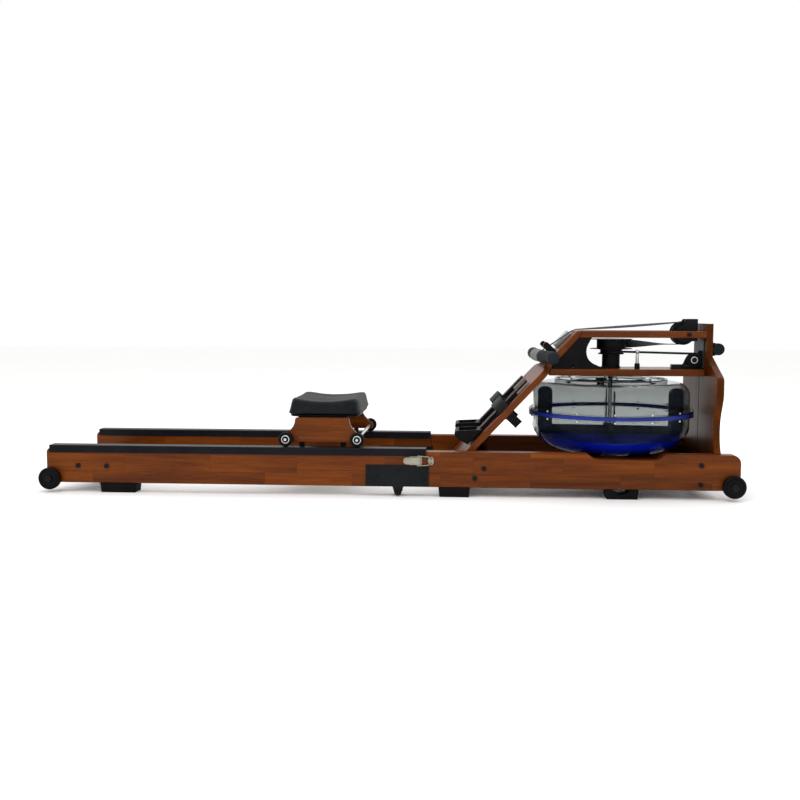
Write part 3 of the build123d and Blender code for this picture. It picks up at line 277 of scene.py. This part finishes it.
UP_THE_BOARD = (0, BOARD_SLOPE, 0)
rail_wood = wood("rail_wood")
board_wood = wood("board_wood", UP_THE_BOARD)
# The upright panel and the cross boards are this wood with painted shade, darkened to 0.78 and 0.5 for the
# shadow they stand in.
upright_wood = wood("upright_wood", (0, math.pi / 2, 0), 0.78, 0.4)
cross_wood = wood("cross_wood", (0, 0, math.pi / 2), 0.5, 0.0)
black_plastic = moulded("black_plastic", srgb(8, 8, 10), (0.36, 0.52))
track_plastic = moulded("track_plastic", srgb(14, 14, 19), (0.3, 0.44), 500.0)
black_steel = moulded("black_steel", srgb(10, 13, 17), (0.34, 0.48), 1400.0, 0.00008, 0.1, 0.2)
foot_rubber = moulded("foot_rubber", srgb(8, 8, 9), (0.62, 0.8), 600.0, 0.0003)
tyre_rubber = moulded("tyre_rubber", srgb(9, 9, 11), (0.5, 0.66), 700.0, 0.0002)
grip_rubber = moulded("grip_rubber", srgb(28, 32, 34), (0.6, 0.78), 480.0, 0.0004)
band_plastic = moulded("band_plastic", srgb(97, 97, 99), (0.42, 0.55))
grey_paint = moulded("grey_paint", srgb(40, 42, 45), (0.4, 0.55), 1200.0, 0.00006, 0.05)
monitor_plastic = moulded("monitor_plastic", srgb(170, 172, 174), (0.38, 0.5))
bolt_metal = moulded("bolt_metal", srgb(24, 24, 26), (0.25, 0.4), 1500.0, 0.00005, metallic=0.7)
blade_plastic = moulded("blade_plastic", srgb(44, 54, 74), (0.2, 0.3), 60.0, 0.00002, clear=0.65)
shaft_metal = metal("shaft_metal", srgb(196, 198, 200))
bright_steel = metal("bright_steel", srgb(205, 205, 205), (0.14, 0.3))
latch_nickel = metal("latch_nickel", srgb(160, 155, 142), (0.24, 0.42))
strap_web = webbing("strap_web", srgb(10, 10, 12))
cord_cover = webbing("cord_cover", srgb(9, 9, 11), (0.6, 0, 0.6))
foot_web = webbing("foot_web", srgb(12, 12, 14), UP_THE_BOARD)
seat_leather = leather("seat_leather", srgb(7, 9, 13))
tank_clear = clear_plastic("tank_clear", srgb(180, 184, 183))
lid_clear = clear_plastic("lid_clear", srgb(152, 156, 156))
gasket_blue = moulded("gasket_blue", srgb(24, 40, 118), (0.3, 0.45), 600.0, 0.0001, 0.2)
water_blue = dyed_water("water_blue", srgb(6, 34, 196))

# Which carried-over nodes each material goes on; the piece that replaces a node sets its own.
LOOKS = {
    rail_wood: "front_rails rear_rails shelf top_beams seat_boards handle_bar",
    board_wood: "footboard",
    upright_wood: "front_panel",
    cross_wood: "cross_boards rear_cross_board",
    track_plastic: "track_caps",
    black_plastic: "fill_plug handle_pegs foot_bases footplate_near footplate_far strap_drum strap_pulley"
                   " drum_housing seat_guides bungee_pulley cheek_plates",
    black_steel: "hinge_arms hinge_plates stand_bumper strap_pulley_bracket bungee_pulley_bracket"
                 " seat_base",
    foot_rubber: "front_feet rear_feet",
    tyre_rubber: "front_wheels rear_wheels seat_wheels_front seat_wheels_rear",
    grip_rubber: "handle_grips",
    band_plastic: "handle_band",
    grey_paint: "panel_plate",
    monitor_plastic: "monitor",
    bolt_metal: "front_fasteners rear_fasteners",
    blade_plastic: "impeller_blades",
    shaft_metal: "impeller_shaft",
    bright_steel: "guide_post seat_axles tank_clips",
    latch_nickel: "latch_bases latch_keepers latch_lever_near latch_lever_far latch_bail_near"
                  " latch_bail_far",
    strap_web: "pull_strap strap_lead",
    foot_web: "foot_straps",
    cord_cover: "bungee_cord",
    seat_leather: "seat_cushion",
    tank_clear: "tank_lower_shell tank_upper_shell",
    lid_clear: "tank_lid",
    gasket_blue: "tank_gasket",
}
for look, names in LOOKS.items():
    for name in names.split():
        mesh = nodes[name].data
        mesh.materials.clear()
        mesh.materials.append(look)


# ------------------------------------------------------------------ mesh helpers
def piece(name, mesh, look, body, smooth=math.radians(40)):
    """A finished object with its material and slot; it rides its body, unless body is None."""
    made = bpy.data.objects.new(name, mesh)
    bpy.context.scene.collection.objects.link(made)
    mesh.materials.clear()
    mesh.materials.append(look)
    mesh.shade_smooth()
    mesh.set_sharp_from_angle(angle=smooth)
    if body:
        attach(made, body)
    return made


def mesh_from(bm, name):
    bmesh.ops.recalc_face_normals(bm, faces=bm.faces)
    mesh = bpy.data.meshes.new(name)
    bm.to_mesh(mesh)
    bm.free()
    return mesh


def skin(bm, first, second, count):
    """Faces between two rings of count points; a ring of one point closes the shape like a fan."""
    for index in range(count):
        after = index + 1
        corners = (first[index % len(first)], first[after % len(first)],
                   second[after % len(second)], second[index % len(second)])
        bm.faces.new(tuple(dict.fromkeys(corners)))


def rounded_square(angle):
    """How far out the outline of a rounded square is at an angle, and the angle's cosine and sine."""
    cosine = math.cos(angle)
    sine = math.sin(angle)
    bulge = (abs(cosine) ** 8 + abs(sine) ** 8) ** (-1 / 8)
    return bulge, cosine, sine


def lathe(bm, profile, centre, axis=(0, 1, 0), turns=64):
    """Revolves (along, radius) points about an axis through centre; a closed profile makes a ring."""
    spin = Vector((0, 0, 1)).rotation_difference(Vector(axis).normalized()).to_matrix()
    closed = profile[0] == profile[-1]
    points = profile[:-1] if closed else profile
    rings = []
    for along, radius in points:
        count = 1 if radius == 0 else turns
        ring = []
        for index in range(count):
            angle = 2 * math.pi * index / turns
            place = Vector((radius * math.cos(angle), radius * math.sin(angle), along))
            ring.append(bm.verts.new(Vector(centre) + spin @ place))
        rings.append(ring)
    pairs = list(zip(rings, rings[1:]))
    if closed:
        pairs.append((rings[-1], rings[0]))
    for low, high in pairs:
        skin(bm, low, high, turns)


def ribbon(name, route, across, width, thick):
    """A flat strap: route is its middle line, across its width direction at each point."""
    bm = bmesh.new()
    half_w = width / 2
    half_t = thick / 2
    section = ((-half_w + half_t, -half_t), (half_w - half_t, -half_t), (half_w, 0),
               (half_w - half_t, half_t), (-half_w + half_t, half_t), (-half_w, 0))
    rings = []
    for index, (place, side) in enumerate(zip(route, across)):
        before = route[max(index - 1, 0)]
        after = route[min(index + 1, len(route) - 1)]
        ahead = (after - before).normalized()
        side = (side - ahead * side.dot(ahead)).normalized()
        up = ahead.cross(side)
        rings.append([bm.verts.new(place + side * u + up * v) for u, v in section])
    for low, high in zip(rings, rings[1:]):
        skin(bm, low, high, len(section))
    bm.faces.new(rings[0])
    bm.faces.new(tuple(reversed(rings[-1])))
    return mesh_from(bm, name)


# ------------------------------------------------------------------ camera, floor and light
def stage():
    """The camera at the photograph's angle, a plain pale floor, white surroundings and three soft lamps."""
    camera = bpy.data.objects.new("camera", bpy.data.cameras.new("camera"))
    camera.location = (0.229, -3.032, 0.535)
    camera.rotation_euler = (math.radians(90 - 5.094), math.radians(-0.115), math.radians(3.761))
    camera.data.sensor_width = 36.0
    camera.data.lens = 43.69
    bpy.context.scene.collection.objects.link(camera)
    bpy.context.scene.camera = camera
    bm = bmesh.new()
    bmesh.ops.create_grid(bm, x_segments=1, y_segments=1, size=12.0)
    floor = bpy.data.objects.new("floor", mesh_from(bm, "floor"))
    make = Maker("floor_paint", Roughness=0.9)
    shade = make.noise(make.coords, 1.5, 2.0)
    make.surface(make.ramp(shade, (0.2, srgb(250, 250, 249)), (0.8, srgb(253, 253, 252))))
    floor.data.materials.append(make.material)
    bpy.context.scene.collection.objects.link(floor)
    world = bpy.data.worlds.new("studio")
    world.use_nodes = True
    world.node_tree.nodes["Background"].inputs["Color"].default_value = (1, 1, 1, 1)
    world.node_tree.nodes["Background"].inputs["Strength"].default_value = 1.0
    bpy.context.scene.world = world
    bpy.context.scene.view_settings.view_transform = "Standard"
    # (name, place, what it points at, side of the square lamp, watts)
    for name, place, target, size, power in (
        ("key", (-1.2, -2.6, 3.0), (0, 0, 0.2), 2.4, 36),
        ("top", (0.4, 0.3, 3.2), (0.2, 0, 0.2), 3.0, 30),
        ("rim", (1.8, 2.4, 2.0), (0.4, 0, 0.3), 2.0, 18),
    ):
        light = bpy.data.objects.new(name, bpy.data.lights.new(name, "AREA"))
        light.data.size = size
        light.data.energy = power
        light.location = place
        light.rotation_euler = (Vector(target) - Vector(place)).to_track_quat("-Z", "Y").to_euler()
        bpy.context.scene.collection.objects.link(light)


stage()


# ------------------------------------------------------------------ seat
def seat_shape(name):
    """Moulded foam seat: dished along X, with two hollows, flaring a little to its bottom edge."""
    low, high = (Vector(corner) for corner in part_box("seat_cushion"))
    centre = (low + high) / 2
    half = (high - low) / 2
    half.x -= PAD_SWELL
    half.y -= PAD_SWELL
    dish_long = 0.015       # depth of the dish from front to rear
    dish_wide = 0.003       # and from side to side
    hollow = 0.004          # depth of each of the two hollows in it
    bm = bmesh.new()
    # (share of the outline, share of the height, how much of the dished top it follows)
    levels = ((0.0, 1.0, 1.0), (0.25, 1.0, 1.0), (0.5, 1.0, 1.0), (0.7, 1.0, 1.0), (0.81, 0.995, 1.0),
              (0.865, 0.965, 0.97), (0.895, 0.9, 0.88), (0.915, 0.8, 0.74), (0.94, 0.5, 0.4),
              (0.975, 0.2, 0.12), (0.995, 0.08, 0.02), (1.0, 0.04, 0.0), (0.985, 0.01, 0.0),
              (0.94, 0.0, 0.0), (0.7, 0.0, 0.0), (0.4, 0.0, 0.0), (0.0, 0.0, 0.0))
    rings = []
    for share, rise, follow in levels:
        ring = []
        for index in range(1 if share == 0 else SEAT_SIDES):
            bulge, cosine, sine = rounded_square(2 * math.pi * index / SEAT_SIDES)
            x = share * bulge * cosine * half.x
            y = share * bulge * sine * half.y
            u = x / half.x
            v = y / half.y
            dish = dish_long * (1 - min(1.0, abs(u) ** 2.2)) + dish_wide * (1 - v * v)
            for side in (-1, 1):
                dish += hollow * math.exp(-(u / 0.45) ** 2 - ((v - side * 0.42) / 0.3) ** 2)
            z = low.z + rise * (high.z - low.z) - follow * dish
            ring.append(bm.verts.new((centre.x + x, centre.y + y, z)))
        rings.append(ring)
    for upper, lower in zip(rings, rings[1:]):
        skin(bm, upper, lower, SEAT_SIDES)
    return mesh_from(bm, name)


def puff(made, cap, voxel, pressure):
    """Fills a closed cushion by a short cloth simulation and keeps each point within cap of its start."""
    frames = 20
    remesh = made.modifiers.new("remesh", "REMESH")
    remesh.mode = "VOXEL"
    remesh.voxel_size = voxel
    bpy.context.view_layer.objects.active = made
    bpy.ops.object.modifier_apply(modifier="remesh")
    start = [vertex.co.copy() for vertex in made.data.vertices]
    cloth = made.modifiers.new("cloth", "CLOTH")
    cloth.settings.use_pressure = True
    cloth.settings.uniform_pressure_force = pressure
    cloth.settings.effector_weights.gravity = 0
    cloth.settings.quality = 4
    cloth.point_cache.frame_end = frames
    for step in range(1, frames + 1):
        bpy.context.scene.frame_set(step)
    bpy.ops.object.modifier_apply(modifier="cloth")
    bpy.context.scene.frame_set(1)
    for vertex, home in zip(made.data.vertices, start):
        move = vertex.co - home
        if move.length > cap:
            vertex.co = home + move.normalized() * cap
    smooth = made.modifiers.new("relax", "SMOOTH")
    smooth.iterations = 4
    smooth.factor = 0.4
    bpy.ops.object.modifier_apply(modifier="relax")
    finer = made.modifiers.new("finer", "SUBSURF")
    finer.levels = 1
    bpy.ops.object.modifier_apply(modifier="finer")


def seat_shadow_pan():
    """Dark moulded pan under the cushion, with rounded corners and edges; it is painted shade, a black sheet
    where the underside of the seat lies in shadow.
    """
    low, high = (Vector(corner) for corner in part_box("seat_cushion"))
    centre = (low + high) / 2
    bm = bmesh.new()
    rings = []
    # (inset from the cushion's outline, drop under the cushion); no inset is the middle of a face
    for inset, drop in ((None, 0.0003), (0.013, 0.0003), (0.011, 0.0012), (0.011, 0.0052), (0.013, 0.0062),
                        (None, 0.0062)):
        ring = []
        for index in range(1 if inset is None else SEAT_SIDES):
            place = Vector((centre.x, centre.y, low.z - drop))
            if inset is not None:
                bulge, cosine, sine = rounded_square(2 * math.pi * index / SEAT_SIDES)
                place.x += bulge * cosine * ((high.x - low.x) / 2 - inset)
                place.y += bulge * sine * ((high.y - low.y) / 2 - inset)
            ring.append(bm.verts.new(place))
        rings.append(ring)
    for upper, lower in zip(rings, rings[1:]):
        skin(bm, upper, lower, SEAT_SIDES)
    piece("seat_shadow_pan", mesh_from(bm, "seat_shadow_pan"), black_plastic, "seat")


def seat():
    """The cushion, filled by the simulation."""
    cushion = piece("seat_pad", seat_shape("seat_pad"), seat_leather, "seat", math.radians(60))
    puff(cushion, cap=PAD_SWELL, voxel=0.005, pressure=4.0)
    cushion.data.shade_smooth()
    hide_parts("seat_cushion")


seat()
seat_shadow_pan()


# ------------------------------------------------------------------ wheels
def wheel_ends(node):
    """Middle X, middle Z, radius and the outer face's Y of a pair of wheels."""
    low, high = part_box(node)
    return (low[0] + high[0]) / 2, (low[2] + high[2]) / 2, (high[2] - low[2]) / 2, high[1]


def seat_wheels(end):
    """Two rollers on one axle, each a rubber tread round a bright ring with a dark web inside it."""
    body = "seat_wheels_" + end
    x, z, radius, outer = wheel_ends(body)
    width = WHEEL_WIDE
    tyre = bmesh.new()
    ring = bmesh.new()
    web = bmesh.new()
    for side in (-1, 1):
        centre = (x, side * (outer - width), z)
        axis = (0, side, 0)
        ring_r = radius * 0.58
        lathe(tyre, [(0, ring_r), (0, radius - 0.004), (0.0012, radius - 0.0012), (0.004, radius),
                     (width - 0.004, radius), (width - 0.0012, radius - 0.0012), (width, radius - 0.004),
                     (width - 0.0004, radius * 0.72), (width - 0.0016, radius * 0.68),
                     (width - 0.0016, ring_r), (0, ring_r)], centre, axis)
        lathe(ring, [(0.0005, radius * 0.44), (0.0005, ring_r), (width - 0.0006, ring_r),
                     (width, ring_r * 0.95), (width, radius * 0.46), (width - 0.0008, radius * 0.44),
                     (0.0005, radius * 0.44)], centre, axis)
        lathe(web, [(0.0008, 0.0053), (0.0008, radius * 0.438), (width - 0.0022, radius * 0.438),
                    (width - 0.0016, 0.0075), (width - 0.0016, 0.0053), (0.0008, 0.0053)], centre, axis)
    tyres = piece(body + "_tyres", mesh_from(tyre, body + "_tyres"), tyre_rubber, body)
    piece(body + "_rings", mesh_from(ring, body + "_rings"), bright_steel, body)
    piece(body + "_webs", mesh_from(web, body + "_webs"), black_plastic, body)
    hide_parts(body)


def seat_axle_set():
    """Bright rods under the seat, each with a dark hexagon nut outside its rollers."""
    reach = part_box("seat_axles")[1][1]
    rods = bmesh.new()
    nuts = bmesh.new()
    for end in ("front", "rear"):
        x, z, _, outer = wheel_ends("seat_wheels_" + end)
        lathe(rods, [(-reach, 0), (-reach, 0.004), (-reach + 0.001, 0.005), (reach - 0.001, 0.005),
                     (reach, 0.004), (reach, 0)], (x, 0, z), turns=32)
        for side in (-1, 1):
            lathe(nuts, [(0.0006, 0.0051), (0.0006, 0.0075), (0.003, 0.0075), (0.0036, 0.0068),
                         (0.0036, 0.0051), (0.0006, 0.0051)], (x, side * outer, z), (0, side, 0), 6)
    made = piece("seat_rods", mesh_from(rods, "seat_rods"), bright_steel, "seat")
    piece("seat_nuts", mesh_from(nuts, "seat_nuts"), bolt_metal, "seat", math.radians(20))
    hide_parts("seat_axles")


def transport_wheels(body):
    """Two solid wheels with a bead round the tread, a sunk web and a raised hub, alike on both faces."""
    x, z, radius, outer = wheel_ends(body)
    width = WHEEL_WIDE
    face = [(width, 0.0053), (width, 0.0112), (width - 0.0007, 0.0124), (width - 0.002, 0.0131),
            (width - 0.0024, 0.0225), (width - 0.0012, 0.0238), (width - 0.0001, 0.0247),
            (width - 0.0001, 0.0263), (width - 0.0011, 0.0268), (width - 0.0011, 0.0276),
            (width - 0.0002, 0.0282), (width - 0.0006, 0.0298), (width - 0.002, radius - 0.0012),
            (width - 0.0042, radius)]
    profile = face + [(width - along, reach) for along, reach in reversed(face)] + face[:1]
    bm = bmesh.new()
    for side in (-1, 1):
        lathe(bm, profile, (x, side * (outer - width), z), (0, side, 0), 72)
    made = piece(body + "_solid", mesh_from(bm, body + "_solid"), tyre_rubber, body,
                 math.radians(28))
    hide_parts(body)


for end in ("front", "rear"):
    seat_wheels(end)
    transport_wheels(end + "_wheels")
seat_axle_set()


# ------------------------------------------------------------------ water
def water():
    """Water that fills the bottom of the lower shell to its level, with no air between it and the wall."""
    low = Vector(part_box("tank_lower_shell")[0])
    centre = middle("tank_lower_shell")
    rise = 0.0824           # height of the shell's curved bottom, up to where its wall is upright
    curve_top = 0.084       # where that is, above the shell's underside
    flat_r = 0.125          # radius of the flat bottom
    bulge_r = 0.1114        # how much wider the shell is at the top of the curve
    level = 0.046           # the water's level, above the shell's underside
    steps = 24
    last = math.acos((curve_top - level) / rise)
    profile = [(curve_top - rise, 0.0)]
    for step in range(steps + 1):
        turn = last * step / steps
        profile.append((curve_top - rise * math.cos(turn), flat_r + bulge_r * math.sin(turn)))
    profile.append((level, 0.0))
    bm = bmesh.new()
    lathe(bm, profile, (centre.x, centre.y, low.z), (0, 0, 1), 96)
    piece("water", mesh_from(bm, "water"), water_blue, "front_frame")


water()


# ------------------------------------------------------------------ handle and straps
def lean(degrees):
    """Direction along the handle, pointing at the far side, turned by some degrees about the vertical."""
    return Vector((-math.sin(math.radians(degrees)), math.cos(math.radians(degrees)), 0))


def handle():
    """Ribbed foam grips that each bend a little from the smooth middle band."""
    centre = middle("handle_band")
    grip_r = span("handle_grips").z / 2
    band_r = span("handle_band").z / 2
    core_r = 0.0122         # just outside the bar that both cover
    elbow = 0.062           # from the middle of the handle to where a grip starts
    round_r = 0.0095        # rounding of a grip's end
    band_axis = lean(HANDLE_SKEW)
    grips = bmesh.new()
    for side in (-1, 1):
        axis = lean(HANDLE_SKEW - side * HANDLE_BEND) * side
        profile = [(0.0, core_r), (0.0, grip_r - 0.0015), (0.0015, grip_r)]
        length = 0.1366
        place = 0.007
        while place < length - 0.013:
            profile += [(place, grip_r), (place + 0.0007, grip_r - 0.0005), (place + 0.0014, grip_r)]
            place += 0.0065
        for step in range(1, 9):
            angle = math.pi / 2 * step / 8
            profile.append((length - round_r + round_r * math.sin(angle),
                            grip_r - round_r * (1 - math.cos(angle))))
        profile.append((length, 0.0))
        lathe(grips, profile, centre + band_axis * side * elbow + axis * 0.0012, axis, 72)
    grip = piece("hand_grips", mesh_from(grips, "hand_grips"), grip_rubber, "handle")
    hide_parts("handle_grips")
    band = bmesh.new()
    length = 2 * elbow - 0.0024
    lathe(band, [(0.0, core_r), (0.0, band_r - 0.001), (0.001, band_r), (length * 0.42, band_r),
                 (length * 0.42 + 0.0008, band_r - 0.0008), (length * 0.42 + 0.0016, band_r),
                 (length * 0.58, band_r), (length * 0.58 + 0.0008, band_r - 0.0008),
                 (length * 0.58 + 0.0016, band_r), (length - 0.001, band_r), (length, band_r - 0.001),
                 (length, core_r), (0.0, core_r)],
          centre - band_axis * length / 2, band_axis, 72)
    made = piece("grip_band", mesh_from(band, "grip_band"), band_plastic, "handle")
    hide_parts("handle_band")


handle()


def pull_strap():
    """The strap leaves the drum upright, twists flat, goes round its pulley and back to the neck's top."""
    pulley = middle("strap_pulley")
    drum = middle("strap_drum")
    lap = span("strap_pulley").z / 2 - 0.0018       # radius of the strap's middle line round the pulley
    start = Vector((drum.x + 0.006, 0.0452, 0.4434))
    run_in = Vector((pulley.x - 0.036, 0, pulley.z - lap))
    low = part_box("pull_strap")[0]
    edge = Vector((low[0] + 0.0002, 0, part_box("top_beams")[1][2] + 0.0032))
    route = []
    sides = []
    twist_steps = 40
    for step in range(twist_steps + 1):
        share = step / twist_steps
        smooth = share * share * (3 - 2 * share)
        turn = smooth * math.pi / 2     # from upright at the drum to flat at the pulley
        route.append(start.lerp(run_in, share))
        sides.append(Vector((0, math.sin(turn), math.cos(turn))))
    wrap_steps = 32
    for step in range(wrap_steps + 1):
        angle = -math.pi / 2 + (math.pi + 0.01) * step / wrap_steps
        route.append(Vector((pulley.x + lap * math.cos(angle), 0, pulley.z + lap * math.sin(angle))))
        sides.append(Vector((0, 1, 0)))
    top = route[-1].copy()
    run_steps = 24
    for step in range(1, run_steps + 1):
        share = step / run_steps
        sag = -0.0015 * 4 * share * (1 - share)
        route.append(top.lerp(edge, share) + Vector((0, 0, sag)))
        tilt = math.radians(12) * math.sin(math.pi * share) ** 0.7
        sides.append(Vector((0, math.cos(tilt), math.sin(tilt))))
    mesh = ribbon("strap", route, sides, STRAP_WIDE, STRAP_THICK)
    made = piece("strap", mesh, strap_web, "front_frame")
    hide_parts("pull_strap")


pull_strap()


def strap_lead():
    """Lead from the neck's top edge down over the face of the footboard to the handle."""
    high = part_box("strap_lead")[1]
    grip = middle("handle_band")
    out = Vector((-math.sin(BOARD_SLOPE), 0, math.cos(BOARD_SLOPE)))
    down = Vector((-math.cos(BOARD_SLOPE), 0, -math.sin(BOARD_SLOPE)))
    first = Vector((high[0] - 0.0006, 0, high[2] - 0.0016))
    bend = first + Vector((-0.006, 0, -0.002))
    band_r = span("handle_band").z / 2
    above = grip - down * (band_r + 0.003) + out * 0.004
    last = grip + (above - grip).normalized() * (band_r + 0.0012)
    route = [first]
    points = (bend, bend.lerp(above, 0.5) - out * 0.0006, above, last)
    for begin, end in zip((first,) + points, points):
        for step in range(1, 13):
            route.append(begin.lerp(end, step / 12))
    # Rounds off its corners.
    for _ in range(12):
        for index in range(1, len(route) - 1):
            route[index] = (route[index - 1] + route[index] * 2 + route[index + 1]) / 4
    mesh = ribbon("lead", route, [Vector((0, 1, 0))] * len(route), STRAP_WIDE, STRAP_THICK)
    made = piece("lead", mesh, strap_web, None)
    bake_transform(made)
    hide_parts("strap_lead")


strap_lead()


def board_point(along, y, out):
    """A point by its distance up the footboard's face, its side and its height off the face."""
    return Vector((BOARD_FOOT[0] + along * math.cos(BOARD_SLOPE) - out * math.sin(BOARD_SLOPE), y,
                   BOARD_FOOT[1] + along * math.sin(BOARD_SLOPE) + out * math.cos(BOARD_SLOPE)))


def foot_straps():
    """Webbing arched over each foot, through the board's slots and across its back, with a hanging tail."""
    along_board = Vector((math.cos(BOARD_SLOPE), 0, math.sin(BOARD_SLOPE)))

    def add(name, route, wide):
        mesh = ribbon(name, route, [along_board] * len(route), wide, FOOT_STRAP_THICK)
        piece(name, mesh, foot_web, "front_frame")

    for side, word in ((-1, "near"), (1, "far")):
        centre = side * FOOT_STRAP_OUT
        route = []
        for step in range(41):
            angle = math.pi * step / 40
            across = FOOT_STRAP_HALF * math.cos(angle)
            flat = math.sin(angle) ** 0.55
            route.append(board_point(FOOT_STRAP_UP, centre + across, 0.011 + 0.0222 * flat))
        first = board_point(FOOT_STRAP_UP, centre + FOOT_STRAP_HALF, -0.0215)
        last = board_point(FOOT_STRAP_UP, centre - FOOT_STRAP_HALF, -0.0215)
        add("foot_strap_" + word, [first] + route + [last], FOOT_STRAP_WIDE)
        back = [board_point(FOOT_STRAP_UP, centre + FOOT_STRAP_HALF - 2 * FOOT_STRAP_HALF * step / 12,
                            -0.0215 - 0.001 * math.sin(math.pi * step / 12)) for step in range(13)]
        add("foot_strap_back_" + word, back, FOOT_STRAP_WIDE)
        tail = [board_point(FOOT_STRAP_UP - 0.004, centre + 0.004 * math.sin(3 * step / 12),
                            -0.024 - 0.044 * step / 12) for step in range(13)]
        add("foot_strap_tail_" + word, tail, 0.028)
    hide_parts("foot_straps")


foot_straps()


# ------------------------------------------------------------------ shock cord and guide post
def shock_cord():
    """Cord from the spool under the drum, round its own pulley and back to the block on the shelf."""
    wheel = middle("bungee_pulley")
    ride = 0.0193           # radius of the cord's middle line round its pulley
    spool = middle("strap_drum")
    end_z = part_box("bungee_cord")[0][2] + 0.0035
    top = wheel.z + ride
    # Off the spool, past the guide post, over and under the pulley, and back to the block.
    route = ((spool.x, -0.0367, 0.421), (spool.x + 0.12, -0.0384, 0.4185), (wheel.x - ride, wheel.y, top),
             (wheel.x + ride, wheel.y, top), (wheel.x + ride, wheel.y, wheel.z - ride),
             (wheel.x - ride, wheel.y, wheel.z - ride), (wheel.x - 0.0345, wheel.y, end_z))
    curve = bpy.data.curves.new("shock_cord", "CURVE")
    curve.dimensions = "3D"
    curve.bevel_depth = 0.0034
    curve.bevel_resolution = 5
    curve.resolution_u = 16
    curve.use_fill_caps = True
    line = curve.splines.new("NURBS")
    line.points.add(len(route) - 1)
    for point, place in zip(line.points, route):
        point.co = (*place, 1)
    line.order_u = 3
    line.use_endpoint_u = True
    curve.materials.append(cord_cover)
    made = bpy.data.objects.new("shock_cord", curve)
    bpy.context.scene.collection.objects.link(made)
    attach(made, "front_frame")
    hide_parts("bungee_cord")


shock_cord()


def post():
    """Bright guide post with a ball top, standing in a black socket."""
    base = middle("guide_post")
    foot = (base.x, base.y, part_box("guide_post")[0][2])
    rod = bmesh.new()
    lathe(rod, [(0.0165, 0), (0.0165, 0.005), (0.043, 0.005), (0.046, 0.0036), (0.0466, 0.0042),
                (0.0505, 0.0064), (0.054, 0.0064), (0.0572, 0.0042), (0.0586, 0)],
          foot, (0, 0, 1), 40)
    socket = bmesh.new()
    lathe(socket, [(0, 0), (0, 0.008), (0.015, 0.008), (0.017, 0.0068), (0.017, 0)],
          foot, (0, 0, 1), 40)
    made = piece("post_rod", mesh_from(rod, "post_rod"), bright_steel, "front_frame")
    piece("post_socket", mesh_from(socket, "post_socket"), black_plastic, "front_frame")
    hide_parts("guide_post")


post()


def cord_pulley_ring():
    """Bright retaining ring on the near face of the cord's pulley."""
    hub = middle("bungee_pulley")
    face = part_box("bungee_pulley_bracket")[0][1]
    ring = bmesh.new()
    lathe(ring, [(0, 0.0079), (0, 0.0102), (0.0004, 0.0106), (0.0012, 0.0106), (0.0016, 0.0102),
                 (0.0016, 0.0083), (0.0012, 0.0079), (0, 0.0079)], (hub.x, face, hub.z), (0, -1, 0), 48)
    piece("cord_pulley_ring", mesh_from(ring, "cord_pulley_ring"), bright_steel, "front_frame")


cord_pulley_ring()
